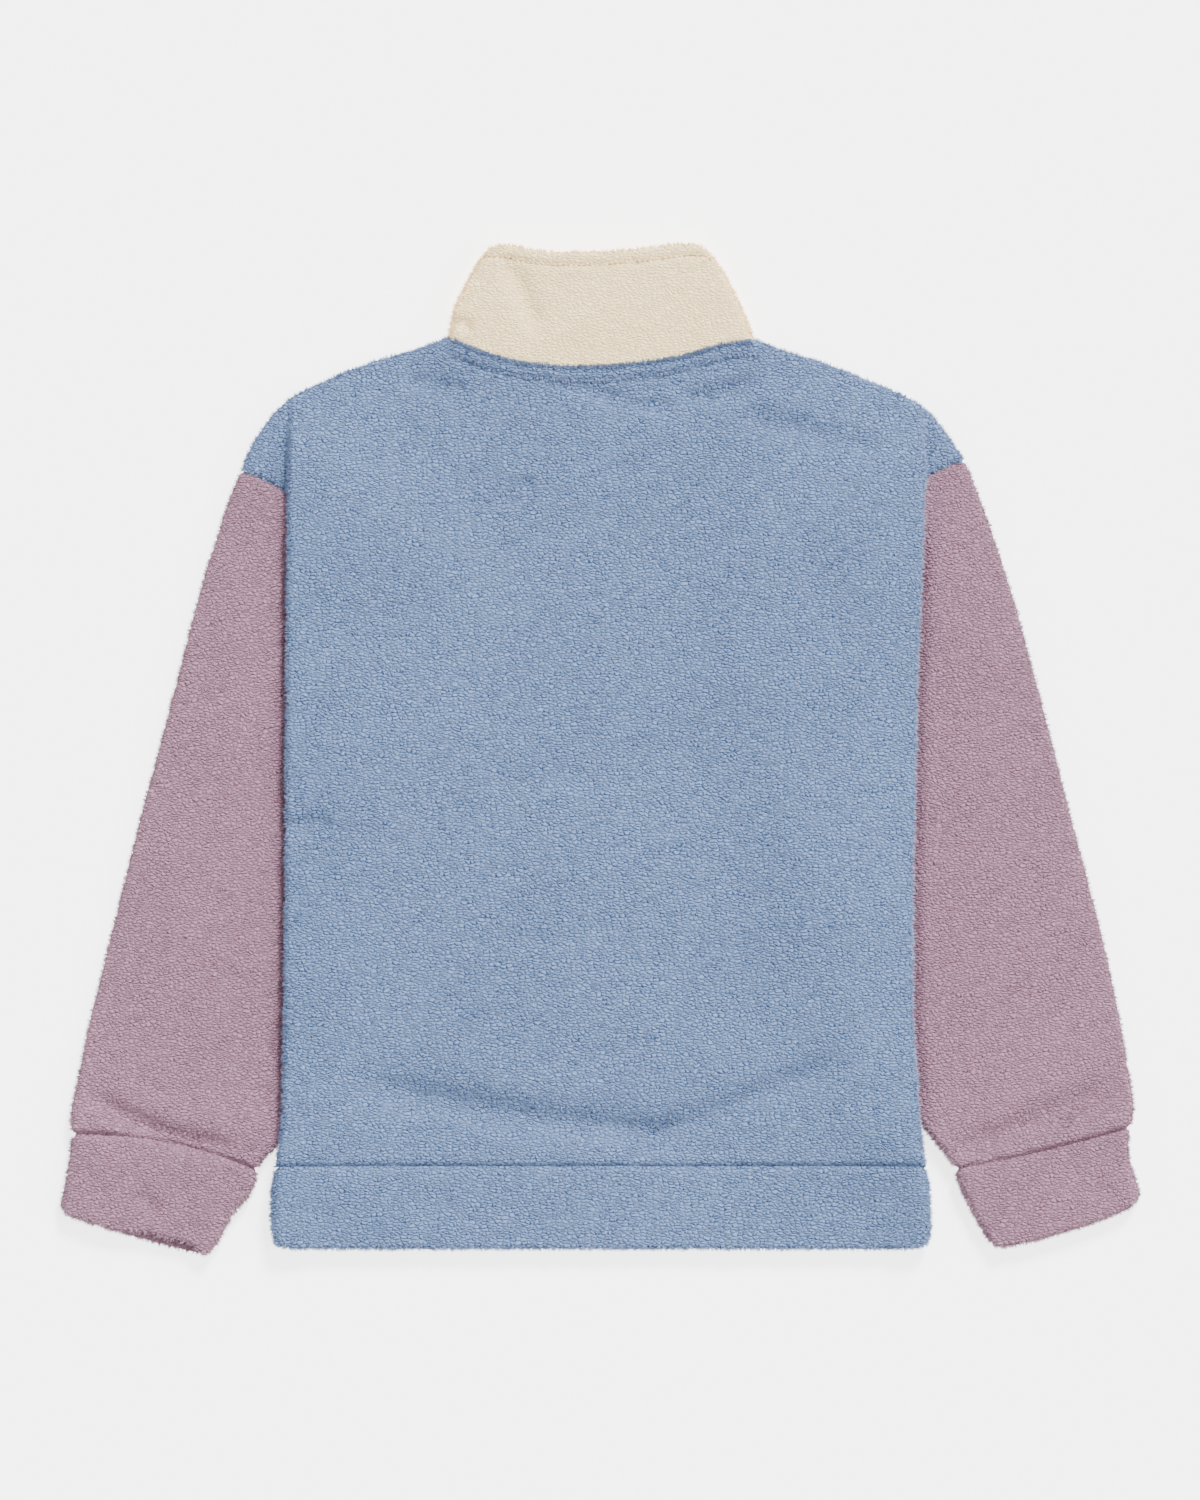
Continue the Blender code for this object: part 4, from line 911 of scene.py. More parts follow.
def panel_columns(front, side, cell):
    """The columns of the back, or of one front, from left to right."""
    blocks = {"left": [], "right": []}
    starts = {}
    for name in SIDES:
        inward = 1.0 if name == "left" else -1.0
        crease = crease_x(name)
        starts[name] = crease + inward * EDGE_ROLL
        if front and name != side:
            continue
        first = SLEEVES[name][0]
        foot = crease + inward * STEP_RISE[0][0]
        shoulder_end = SHOULDERS[name][0 if name == "left" else -1][0]
        fine_x = np.linspace(shoulder_end, foot, OUTLINE_SAMPLES)
        count = int(CAP_WIDTH / cell)
        outline_x, _ = resampled(fine_x, edge_y(front, fine_x), count + 1)
        tip = first.outer_x + inward * EDGE_ROLL * ARMHOLE_SLANT
        caps = np.linspace(tip, foot, count + 1)
        inside = np.abs(caps - crease) * np.sign((caps - crease) * inward)
        share = front_share(inside) if front else 0 * caps
        cap = column_block(front, name, "cap", caps, outline_x, share, 0 * caps)
        inside = np.linspace(STEP_RISE[0][0], STEP_RISE[-1][0], STEP_COLUMNS)[1:]
        step_x = crease + inward * inside
        share = front_share(inside) if front else curve(STEP_RISE, inside)
        roll = np.linspace(ROLL_END, 0.0, len(inside))
        step = column_block(front, name, "step", step_x, step_x, share, roll)
        blocks[name] = [cap, step]
    start, end = starts["left"], starts["right"]
    if front and side == "left":
        flat_x = graded(start, -ZIP_GAP, cell)[1:]
    elif front:
        flat_x = graded(ZIP_GAP, end, cell)[:-1]
    else:
        flat_x = np.linspace(start, end, int((end - start) / cell) + 1)[1:-1]
    share = np.ones(len(flat_x))
    if front:
        left_inside = flat_x - crease_x("left")
        right_inside = crease_x("right") - flat_x
        share = front_share(np.minimum(left_inside, right_inside))
    flat = column_block(front, "left", "flat", flat_x, flat_x, share, 0 * flat_x)
    ordered = blocks["left"] + [flat]
    for block in reversed(blocks["right"]):
        ordered.append({key: value[::-1] for key, value in block.items()})
    columns = {key: np.concatenate([block[key] for block in ordered]) for key in flat}
    columns["flat_share"] = (columns["foot_x"] - start) / (end - start)
    return columns


def rolled(seam, outer, angle):
    """Level this far round an edge's roll: a quarter ellipse from the outer face to the seam."""
    return seam + (outer - seam) * np.where(angle < np.pi / 2, np.cos(angle), 0.0)


def panel_points(front, side, cell):
    """Grid of a body panel's outer face and the cells it has.

    Lower rows run across from side edge to side edge, each edge turned by a quarter ellipse. Upper
    rows run from the armholes to the shoulders and neckline, which turn in the same way.
    """
    columns = panel_columns(front, side, cell)
    facing = -1.0 if front else 1.0
    folds = FRONT_FOLDS if front else BACK_FOLDS
    neck = NECK_FRONT if front else NECK_BACK
    tucked = (0.0, TUCK - SEAM, -facing * TUCK_DEPTH)

    def middle(x, y, share):
        """Middle of the panel's cloth."""
        height = front_level(x, y) + lift(x, y) * share
        return height if front else height + spread(x, y)

    def face(x, y, share):
        """Outer face: the middle plus half the wall, folds, hem, neck and stitch valleys."""
        outer = middle(x, y, share) + facing * PLY / 2
        if front:
            outer = outer - front_level(x, y) + PLY / 2
            from_zip = np.abs(x) - ZIP_GAP
            outer = outer + seam_fall(from_zip, PLY / 2, ZIP_VALLEY_WIDTH)
        depth = seam_fall(y - HEM_SEAM, *HEM_VALLEY)
        on_neck = over_neck(neck, x, margin=1, fade=3)
        below = curve(neck, x) - y
        depth = depth + on_neck * seam_fall(below - NECK_STITCH, *NECK_STITCH_VALLEY)
        if not front:
            depth = depth - on_neck * WELT[0] * smooth((NECK_STITCH - below) / WELT[1] + 0.5)
        return outer + facing * (fold_height(folds, x, y) - depth)

    def seam_level(x, y, share):
        """Level where the back and the fronts meet at the side and on the shoulder."""
        return front_level(x, y) + lift(x, y) * share + spread(x, y) / 2

    foot_x, foot_y = columns["foot_x"], columns["foot_y"]
    bottom = HEM_SEAM + SEAM
    rows = int((ARMHOLE_LEVEL - bottom) / cell)
    along = graded(0.0, 1.0, 1.0 / rows, FINE_SHARE / rows, fine_cells=3)[:-1, None]
    y = mix(bottom, foot_y[None, :], along)
    start = side_x("left", y) + EDGE_ROLL
    end = side_x("right", y) - EDGE_ROLL
    x = mix(start, end, np.clip(columns["flat_share"], 0.0, 1.0))
    if front:
        near_zip = smooth((NEAR_ZIP[0] - np.abs(foot_x)) / NEAR_ZIP[1])
        x = mix(x, np.broadcast_to(foot_x, x.shape), near_zip)
    flat_x = x
    angle = columns["roll"]
    x = flat_x - columns["sign"] * EDGE_ROLL * np.sin(angle)
    z = rolled(seam_level(flat_x, y, 1.0), face(flat_x, y, 1.0), angle)
    to_step = smooth(1 - (foot_y - y) / EDGE_JOIN) * (angle > 0)
    x = mix(x, foot_x, to_step)
    z = mix(z, face(x, y, columns["share"]), to_step)
    lower = np.stack([x, y, z], axis=-1)
    lower = np.concatenate([lower[:1] + tucked, lower])

    top_x, top_y = columns["top_x"], columns["top_y"]
    reach = np.median(top_y - foot_y)
    along = graded(0.0, 1.0, cell / reach, FINE_CELL / reach, fine_cells=3)[:, None]
    x = mix(foot_x, top_x, along)
    y = mix(foot_y, top_y, along)
    z = face(x, y, columns["share"])
    from_seam = (y - foot_y) + NO_SEAM * columns["lower"]
    z = z - facing * seam_fall(from_seam, *CAP_VALLEY)
    upper = np.stack([x, y, z], axis=-1)
    cap = ~columns["lower"]
    lower[-1, cap] = upper[0, cap] + tucked

    angle = np.linspace(0.0, ROLL_END, ROLL_ROWS)[1:, None]
    x = top_x + columns["out_x"] * columns["turn"] * np.sin(angle)
    y = top_y + columns["out_y"] * columns["turn"] * np.sin(angle)
    top_face = face(top_x, top_y, columns["share"])
    seam = mix(seam_level(top_x, top_y, columns["share"]), top_face - facing * NECK_FALL,
               columns["neck"])
    z = rolled(seam, top_face, angle)
    edge = np.stack(np.broadcast_arrays(x, y, z), axis=-1)

    points = np.concatenate([lower, upper, edge])
    keep = np.ones((len(points) - 1, len(foot_x) - 1), bool)
    both = columns["lower"][:-1] & columns["lower"][1:]
    keep[:len(lower) - 1] = both
    keep[len(lower) - 1] = both | (cap[:-1] & cap[1:])
    return points, keep


# ---------------------------------------------------------------- tubes and bands

def edge_rows(length, cell, seam_depth):
    """Rows of a doubled band: distance from its seam and inset from its outer face, over the folded
    rim by a half circle and a little way back inside."""
    straight = graded(0.0, length - RIM, cell)
    angle = np.linspace(0.0, np.pi, RIM_ROWS)[1:]
    inside = np.linspace(length - RIM, length - RIM - RIM_INSIDE, INSIDE_ROWS)[1:]
    distance = np.concatenate([[TUCK - SEAM], straight, length - RIM + RIM * np.sin(angle), inside])
    inset = np.concatenate([
        [seam_depth + TUCK_DEPTH], seam_fall(straight, seam_depth, BAND_VALLEY_WIDTH),
        RIM * (1 - np.cos(angle)), np.full(len(inside), FOLDED),
    ])
    return distance[:, None], inset[:, None]


def middle_steps(table):
    """Distances between the middles of a table's neighbouring sections."""
    rows = np.array(table, float)
    middle = (rows[:, :2] + rows[:, 2:4]) / 2
    return np.hypot(*np.diff(middle, axis=0).T)


def fields_at(table, share):
    """The station table's columns at these shares of the way along it, and past its ends in the same
    direction, which is towards the hem."""
    rows = np.array(table, float)
    reach = np.concatenate([[0.0], np.cumsum(middle_steps(table))])
    place = share * reach[-1]
    past = place - np.clip(place, 0.0, reach[-1])
    found = Station(*(curve(np.column_stack([reach, rows[:, k]]), place) for k in range(6)))
    return found._replace(outer_y=found.outer_y - past, inner_y=found.inner_y - past)


def table_length(table):
    """Length along the middle of a sleeve or cuff."""
    return float(middle_steps(table).sum())


def corner_cut(distance, radius):
    """How far a rounded corner falls back from a straight edge: the gap outside a quarter circle."""
    short = np.clip(radius - distance, 0.0, radius)
    return radius - np.sqrt(np.maximum(radius ** 2 - short ** 2, 0.0))


def tube_points(place, low, high, roll, inset, across, lean, rise, corner=0.0, gape=0.0):
    """A flattened tube: distance across each section, leaning past its flat layers by the roll, at a
    height between its lower and upper faces, with its folds, and pressed down beside the body."""
    width = np.hypot(place.inner_x - place.outer_x, place.inner_y - place.outer_y)
    across_x = (place.inner_x - place.outer_x) / width
    across_y = (place.inner_y - place.outer_y) / width
    distance = roll + across * (width - 2 * roll) + lean * (roll - inset)
    arch = 4 * np.clip(distance / width, 0, 1) * (1 - np.clip(distance / width, 0, 1))
    cut = corner_cut(np.minimum(distance, width - distance), np.maximum(corner, SHARPEST_CORNER))
    x = place.outer_x + across_x * distance
    open_end = smooth((distance / width - GAPE_START[0]) / GAPE_START[1])
    open_end = open_end * smooth((GAPE_END[0] - distance / width) / GAPE_END[1])
    y = place.outer_y + across_y * distance + place.bow * arch + cut + gape * open_end * rise
    body_x = np.where(place.outer_x < 0, side_x("left", y), side_x("right", y))
    shown = np.clip((body_x - place.outer_x) / across_x - BODY_REST, LEAST_SHOWN, width)
    swell = place.crown * np.sin(np.pi * np.clip(distance / shown, 0, 1)) ** 2
    depth, reach = np.where((place.outer_x < 0)[None], *(np.array(PRESS[side])[:, None, None]
                                                         for side in PRESS))
    beside = (shown + BODY_REST - distance) / reach
    press = depth * smooth(place.crown / PRESS_CROWN) * np.exp(-beside ** 2)
    top = high - inset + swell + fold_height(ARM_FOLDS, x, y) - press
    z = mix(low + inset, top, rise)
    return np.stack(np.broadcast_arrays(x, y, z), axis=-1)


def around(lower_cells, upper_cells, hidden_cells, shown):
    """A closed loop over a flat tube: (share across, lean, rise) of each column. The upper layer has
    its fine columns over the part that shows and a few over the rest."""
    lower = np.linspace(0.0, 1.0, lower_cells + 1)[None, :]
    angle = np.linspace(0.0, np.pi, TUBE_TURN)[None, 1:-1]
    hidden = mix(1.0, shown, np.linspace(0.0, 1.0, hidden_cells + 1)[None, :-1])
    visible = mix(shown, 0.0, np.linspace(0.0, 1.0, upper_cells + 1)[None, :])
    rows = len(shown)

    def full(block):
        return np.broadcast_to(block, (rows, block.shape[1]))

    ones = np.ones_like(angle)
    flat_low, flat_high = 0 * lower, np.ones((1, hidden_cells + upper_cells + 1))
    across = [full(lower), full(ones), hidden, visible, full(0 * angle)]
    lean = [full(flat_low), full(np.sin(angle)), full(0 * flat_high), full(-np.sin(angle))]
    rise = [full(flat_low), full((1 - np.cos(angle)) / 2), full(flat_high),
            full((1 + np.cos(angle)) / 2)]
    return np.hstack(across), np.hstack(lean), np.hstack(rise)


def sleeve_points(side, cell):
    """The sleeve's outer face from the armhole to the cuff seam, parting to the cuff's height."""
    table = SLEEVES[side]
    length = table_length(table)
    along = graded(0.0, length, cell)[:, None]
    along = np.concatenate([[[TUCK - SEAM]], along, [[length + SEAM - TUCK]]])
    tucked = (along < 0) | (along > length)
    place_at = fields_at(table, along / length)
    across_x = place_at.inner_x - place_at.outer_x
    body = side_x(side, mix(place_at.outer_y, place_at.inner_y, SHOWN_AT))
    shown = np.clip((body - place_at.outer_x) / across_x + SHOWN_MARGIN, *SHOWN_SHARES)
    parted = smooth(1 - (length - along) / PART_LENGTH)
    high = mix(SLEEVE_TOP, BAND_TOP + PART_RISE, parted)
    roll = mix(EDGE_ROLL, EDGE_ROLL + PART_ROLL, parted)
    inset = seam_fall(along, *ARMHOLE_VALLEY) + seam_fall(length - along, *SLEEVE_END_VALLEY)
    inset = inset + tucked * TUCK_DEPTH
    across, lean, rise = around(int(SLEEVE_UNDER / cell), int(SLEEVE_OVER / cell), HIDDEN_CELLS, shown)
    return tube_points(place_at, 0.0, high, roll, inset, across, lean, rise)


def cuff_points(side, cell):
    """The cuff's outer face, over its rim and a little way inside."""
    table = CUFFS[side]
    length = table_length(table)
    along, inset = edge_rows(length, cell, CUFF_SEAM_DEPTH)
    place_at = fields_at(table, along / length)
    shown = np.full((len(along), 1), CUFF_SHOWN)
    cells = int(CUFF_WIDTH / cell)
    across, lean, rise = around(cells, cells, 1, shown)
    near_end = smooth(1 - (length - along) / CUFF_CORNER_LENGTH)
    gape = CUFF_GAPE * smooth(1 - (length - along) / GAPE_LENGTH) if side == "left" else 0.0
    return tube_points(place_at, 0.0, BAND_TOP, BAND_ROLL, inset, across, lean, rise,
                       CORNERS["cuff"] * near_end, gape)


def band_points(left_x, right_x, lower_y, upper_y, low, high, inset, cell):
    """A band from the zip round the left side, over the back and round again to the zip."""
    start = left_x + BAND_ROLL
    end = right_x - BAND_ROLL
    width = float(np.max(end - start))
    half = graded(0.0, 1.0, 2 * cell / width, fine=0.01, fine_cells=2)[None, :]
    full = np.linspace(0.0, 1.0, int(width / cell) + 1)[None, :]
    angle = np.linspace(0.0, np.pi, BAND_TURN)[None, 1:-1]
    lean = (BAND_ROLL - inset) * np.sin(angle)
    left, over, right = mix(-ZIP_GAP, start, half), mix(start, end, full), mix(end, ZIP_GAP, half)
    flat_x = np.hstack([left, start + 0 * angle, over, end + 0 * angle, right])
    x = np.hstack([left, start - lean, over, end + lean, right])
    rise = np.hstack([
        0 * half, (1 - np.cos(angle)) / 2, 1 + 0 * full, (1 + np.cos(angle)) / 2, 0 * half,
    ])
    y = mix(lower_y(flat_x), upper_y(flat_x), rise)
    z = mix(low(flat_x, y) + inset, high(flat_x, y) - inset, rise)
    from_zip = np.where(rise == 0, np.abs(x) - ZIP_GAP, NO_SEAM)
    z = z + seam_fall(from_zip, RIM, ZIP_VALLEY_WIDTH)
    return np.stack(np.broadcast_arrays(x, y, z), axis=-1)


def hem_points(cell):
    """The hem band, lifted over the sleeves like the panels it hangs from."""
    length = HEM_SEAM - SEAM - HEM_BOTTOM
    along, inset = edge_rows(length, cell, HEM_SEAM_DEPTH)
    y = HEM_SEAM - SEAM - along
    radius = CORNERS["hem"]
    cut = corner_cut(y - HEM_BOTTOM, radius) * HEM_CORNER_SIDE
    left_x = side_x("left", y) + cut
    right_x = side_x("right", y) - cut
    share = along / length

    def edge(x):
        from_end = np.minimum(x - left_x, right_x - x)
        return y + corner_cut(from_end, radius) * share * HEM_CORNER_BOTTOM

    def low(x, y):
        return lift(x, y)

    def high(x, y):
        return BAND_TOP + lift(x, y) + fold_height(HEM_FOLDS, x, y)

    return band_points(left_x, right_x, edge, edge, low, high, inset, cell)


def collar_y(x, share, neck=NECK_BACK, top=COLLAR_TOP_BACK):
    """Y of the collar at x, this share of the way from its seam to its upper edge."""
    left_x = curve(COLLAR_SIDES["left"], share)
    right_x = curve(COLLAR_SIDES["right"], share)
    across = (x - left_x) / (right_x - left_x)
    base = mix(COLLAR_SIDES["left"][0][1], COLLAR_SIDES["right"][0][1], across)
    return mix(curve(neck, base) + SEAM, curve(top, mix(top[0][0], top[-1][0], across)), share)


def collar_points(cell):
    """The stand collar: its back half on top, and its front halves, set lower, beneath."""
    along, inset = edge_rows(COLLAR_HEIGHT, cell, COLLAR_SEAM_DEPTH)
    share = along / COLLAR_HEIGHT
    left_x = curve(COLLAR_SIDES["left"], share)
    right_x = curve(COLLAR_SIDES["right"], share)

    def upper_y(x):
        return collar_y(x, share)

    def lower_y(x):
        return collar_y(x, share, NECK_FRONT, COLLAR_TOP_FRONT)

    def low(x, y):
        return 0.0 * x

    def high(x, y):
        loft = COLLAR_LOFT * smooth(np.minimum(x - left_x, right_x - x) / LOFT_FROM_SIDE)
        loft = loft * smooth(share / COLLAR_LOFT_SHARE)
        stitch = seam_fall(COLLAR_HEIGHT - along - COLLAR_STITCH, *COLLAR_STITCH_VALLEY)
        dent = fold_height(COLLAR_FOLDS, x, y) - stitch
        return BAND_TOP + loft + dent

    return band_points(left_x, right_x, lower_y, upper_y, low, high, inset, cell)


# ---------------------------------------------------------------- materials

def new_group(name, inputs, outputs):
    """An empty shader node group with its sockets: (name, type, default) in and (name, type) out."""
    group = bpy.data.node_groups.new(name, "ShaderNodeTree")
    for socket, kind, default in inputs:
        made = group.interface.new_socket(socket, in_out="INPUT", socket_type=kind)
        if default is not None:
            made.default_value = default
    for socket, kind in outputs:
        group.interface.new_socket(socket, in_out="OUTPUT", socket_type=kind)
    return group, group.nodes.new("NodeGroupInput"), group.nodes.new("NodeGroupOutput")


def set_sockets(node, values):
    """Give a node's own sockets their values."""
    for socket, value in values.items():
        node.inputs[socket].default_value = value


def noise(tree, vector, scale, detail, roughness=0.5):
    """A noise texture on a vector."""
    node = tree.nodes.new("ShaderNodeTexNoise")
    set_sockets(node, {"Scale": scale, "Detail": detail, "Roughness": roughness})
    tree.links.new(vector, node.inputs["Vector"])
    return node


def ramped(tree, value, low, high, to_low=0.0, to_high=1.0):
    """A value brought smoothly from one range to another."""
    node = tree.nodes.new("ShaderNodeMapRange")
    node.interpolation_type = "SMOOTHSTEP"
    set_sockets(node, {"From Min": low, "From Max": high, "To Min": to_low, "To Max": to_high})
    tree.links.new(value, node.inputs["Value"])
    return node.outputs["Result"]


def combined(tree, operation, first, second):
    """A Math node on two sockets or numbers."""
    node = tree.nodes.new("ShaderNodeMath")
    node.operation = operation
    for socket, value in zip(node.inputs, (first, second)):
        if isinstance(value, (int, float)):
            socket.default_value = value
        else:
            tree.links.new(value, socket)
    return node.outputs["Value"]


def vector_math(tree, operation, *values):
    """A Vector Math node on sockets or vectors."""
    node = tree.nodes.new("ShaderNodeVectorMath")
    node.operation = operation
    for socket, value in zip(node.inputs, values):
        if isinstance(value, tuple):
            socket.default_value = value
        else:
            tree.links.new(value, socket)
    return node.outputs["Value" if operation == "DOT_PRODUCT" else "Vector"]


def nap_group():
    """Packed tufts that lie towards the hem: cells on a plane warped twice, each domed up from its
    border and rising to its lower end, with the crevice's painted shade darkest under that end, as a
    painted shadow on the side away from the key light, uneven from tuft to tuft, and a tone for each
    cell."""
    group, source, result = new_group(
        "nap",
        [("Vector", "NodeSocketVector", None), ("Turn", "NodeSocketVector", None),
         ("Stretch", "NodeSocketVector", None)],
        [("Crevice", "NodeSocketFloat"), ("Height", "NodeSocketFloat"),
         ("Mottle", "NodeSocketFloat")],
    )
    vector = source.outputs["Vector"]
    pushed = vector
    for scale, detail, roughness, reach in WARPS:
        warp = noise(group, vector, scale, detail, roughness)
        pushed = vector_math(group, "MULTIPLY_ADD", warp.outputs["Color"], (reach,) * 3, pushed)
    lay = group.nodes.new("ShaderNodeMapping")
    group.links.new(pushed, lay.inputs["Vector"])
    group.links.new(source.outputs["Turn"], lay.inputs["Rotation"])
    group.links.new(source.outputs["Stretch"], lay.inputs["Scale"])
    flat = vector_math(group, "MULTIPLY", lay.outputs["Vector"], (1.0, 1.0, 0.0))

    def packed(feature):
        cells = group.nodes.new("ShaderNodeTexVoronoi")
        cells.voronoi_dimensions = "2D"
        cells.feature = feature
        set_sockets(cells, {"Scale": 1.0, "Randomness": 1.0})
        group.links.new(flat, cells.inputs["Vector"])
        return cells

    border = packed("DISTANCE_TO_EDGE").outputs["Distance"]
    tuft = packed("F1")
    offset = vector_math(group, "SUBTRACT", flat, tuft.outputs["Position"])
    # Painted shadow: the crevice is darkest under each tuft's lower end, on the side away from the key
    # light; the same direction also raises the nap towards that end
    down = vector_math(group, "DOT_PRODUCT", offset, NAP_AND_SHADOW_WAY)
    under = ramped(group, down, *UNDER_TUFT)
    own = ramped(group, tuft.outputs["Color"], *OWN_SHADE)
    patches = noise(group, vector, *PATCHES)
    broken = ramped(group, patches.outputs["Fac"], *PATCH_SHADE)
    gap = combined(group, "MULTIPLY", ramped(group, border, *BORDER_GAP), under)
    gap = combined(group, "MULTIPLY", gap, combined(group, "MULTIPLY", own, broken))
    lint = noise(group, vector, *LINT)
    height = combined(group, "ADD", ramped(group, border, *BORDER_DOME),
                      combined(group, "MULTIPLY", lint.outputs["Fac"], LINT_HEIGHT))
    height = combined(group, "ADD", height, combined(group, "MULTIPLY", down, NAP_RISE))
    clouds = noise(group, vector_math(group, "MULTIPLY", vector, CLOUD_STRETCH), *CLOUDS)
    mottle = combined(group, "ADD", combined(group, "MULTIPLY", clouds.outputs["Fac"], CLOUD_SHARE),
                      combined(group, "MULTIPLY", own, OWN_SHARE))
    group.links.new(gap, result.inputs["Crevice"])
    group.links.new(height, result.inputs["Height"])
    group.links.new(mottle, result.inputs["Mottle"])
    return group


def blended(tree, factor, first, second, mode="MIX"):
    """A colour mix of two sockets or colours by a socket or number."""
    node = tree.nodes.new("ShaderNodeMix")
    node.data_type = "RGBA"
    node.blend_type = mode
    for socket, value in ((node.inputs[0], factor), (node.inputs[6], first), (node.inputs[7], second)):
        if isinstance(value, (int, float)):
            socket.default_value = value
        elif isinstance(value, tuple):
            socket.default_value = (*value, 1.0)
        else:
            tree.links.new(value, socket)
    return node.outputs[2]


def new_material(name):
    """A material with nodes, its tree and its shader."""
    material = bpy.data.materials.new(name)
    material.use_nodes = True
    return material, material.node_tree, material.node_tree.nodes["Principled BSDF"]


def bumped(tree, shader, height, strength, distance):
    """Bump a shader's normals by a height."""
    bump = tree.nodes.new("ShaderNodeBump")
    set_sockets(bump, {"Strength": strength, "Distance": distance})
    tree.links.new(height, bump.inputs["Height"])
    tree.links.new(bump.outputs["Normal"], shader.inputs["Normal"])


def fleece_material(name, group, colour, deep, turn, sizes, depth, relief):
    """Curled pile: painted shade darkens it towards the deep colour in the crevices and in the hollows
    between the curls, with a soft sheen of its own colour.
    """
    material, tree, shader = new_material(name)
    place_on = tree.nodes.new("ShaderNodeTexCoord")
    nap = tree.nodes.new("ShaderNodeGroup")
    nap.node_tree = group
    tree.links.new(place_on.outputs["Object"], nap.inputs["Vector"])
    nap.inputs["Turn"].default_value = (0.0, 0.0, -turn)
    along, across = 1.0 / sizes.stroke_length, 1.0 / sizes.stroke_width
    nap.inputs["Stretch"].default_value = (along, across, across)
    between = tree.nodes.new("ShaderNodeAttribute")
    between.attribute_name = "between"
    # Painted shade: the crevices between the tufts and the hollows between the curls are darkened
    # towards the deep colour
    gap = combined(tree, "MULTIPLY", nap.outputs["Crevice"], CREVICE_PAINTED_SHADE * depth)
    wide = combined(tree, "MULTIPLY", between.outputs["Fac"], HOLLOW_PAINTED_SHADE * depth)
    shade = combined(tree, "ADD", gap, wide)
    base = blended(tree, shade, colour, deep)
    tone = ramped(tree, nap.outputs["Mottle"], *TONES)
    tree.links.new(blended(tree, 1.0, base, tone, "MULTIPLY"), shader.inputs["Base Color"])
    set_sockets(shader, {
        "Roughness": 0.95, "Specular IOR Level": 0.15, "Sheen Weight": 0.22, "Sheen Roughness": 0.55,
        "Sheen Tint": (*colour, 1.0),
    })
    bumped(tree, shader, nap.outputs["Height"], relief, NAP_DEPTH)
    return material


def plain_material(name, colour, roughness, metallic=0.0):
    """A finish with fine uneven wear in its roughness and tone."""
    material, tree, shader = new_material(name)
    place_on = tree.nodes.new("ShaderNodeTexCoord")
    grain = noise(tree, place_on.outputs["Object"], 900.0, 3.0, 0.6)
    tone = ramped(tree, grain.outputs["Fac"], 0.3, 0.7, 0.9, 1.08)
    tree.links.new(blended(tree, 1.0, colour, tone, "MULTIPLY"), shader.inputs["Base Color"])
    rough = ramped(tree, grain.outputs["Fac"], 0.3, 0.7, roughness - 0.06, roughness + 0.08)
    tree.links.new(rough, shader.inputs["Roughness"])
    shader.inputs["Metallic"].default_value = metallic
    return material


def tape_material(name, colour):
    """Woven tape: fine ribs along and across, as bump and tone."""
    material = plain_material(name, colour, 0.85)
    tree = material.node_tree
    shader = tree.nodes["Principled BSDF"]
    place_on = tree.nodes.new("ShaderNodeTexCoord")
    ribs = []
    for direction, scale in (("X", 220.0), ("Y", 150.0)):
        wave = tree.nodes.new("ShaderNodeTexWave")
        wave.bands_direction = direction
        set_sockets(wave, {"Scale": scale})
        tree.links.new(place_on.outputs["Object"], wave.inputs["Vector"])
        ribs.append(wave.outputs["Fac"])
    weave = combined(tree, "MULTIPLY", *ribs)
    bumped(tree, shader, weave, 0.6, 0.0003)
    return material


# ---------------------------------------------------------------- properties

def metres(name, description, default):
    """A size that a user may change, in metres."""
    return FloatProperty(name=name, description=description, default=default, unit="LENGTH")


def tint(name, description, default):
    """A colour that a user may change, linear."""
    return FloatVectorProperty(name=name, description=description, default=default, subtype="COLOR")


class JacketSizes(bpy.types.PropertyGroup):
    """Sizes of the pile, the seams and the mesh."""

    pile_height: metres("Pile height", "How far the curls stand from the cloth", 0.00035)
    curl_length: metres("Curl length", "Length of a lock along the nap", 0.0070)
    curl_width: metres("Curl width", "Width of a lock across the nap", 0.0046)
    stroke_length: metres("Stroke length", "Length of the finest crevices", 0.0039)
    stroke_width: metres("Stroke width", "Spacing of the finest crevices", 0.0021)
    fuzz_length: metres("Fuzz length", "Length of the tufts that stand out at edges and seams", 0.0026)
    stitch_length: metres("Stitch length", "Length of one stitch", 0.0032)
    thread_width: metres("Thread width", "Width of the sewing thread", 0.0009)
    fibre_width: metres("Fibre width", "Width of one fibre at its root", 0.00034)
    cell: metres("Mesh cell", "Side of a cell of the cloth meshes that face up", 0.00178)
    under_cell: metres("Lower mesh cell", "Side of a cell on the face that lies down", 0.0026)


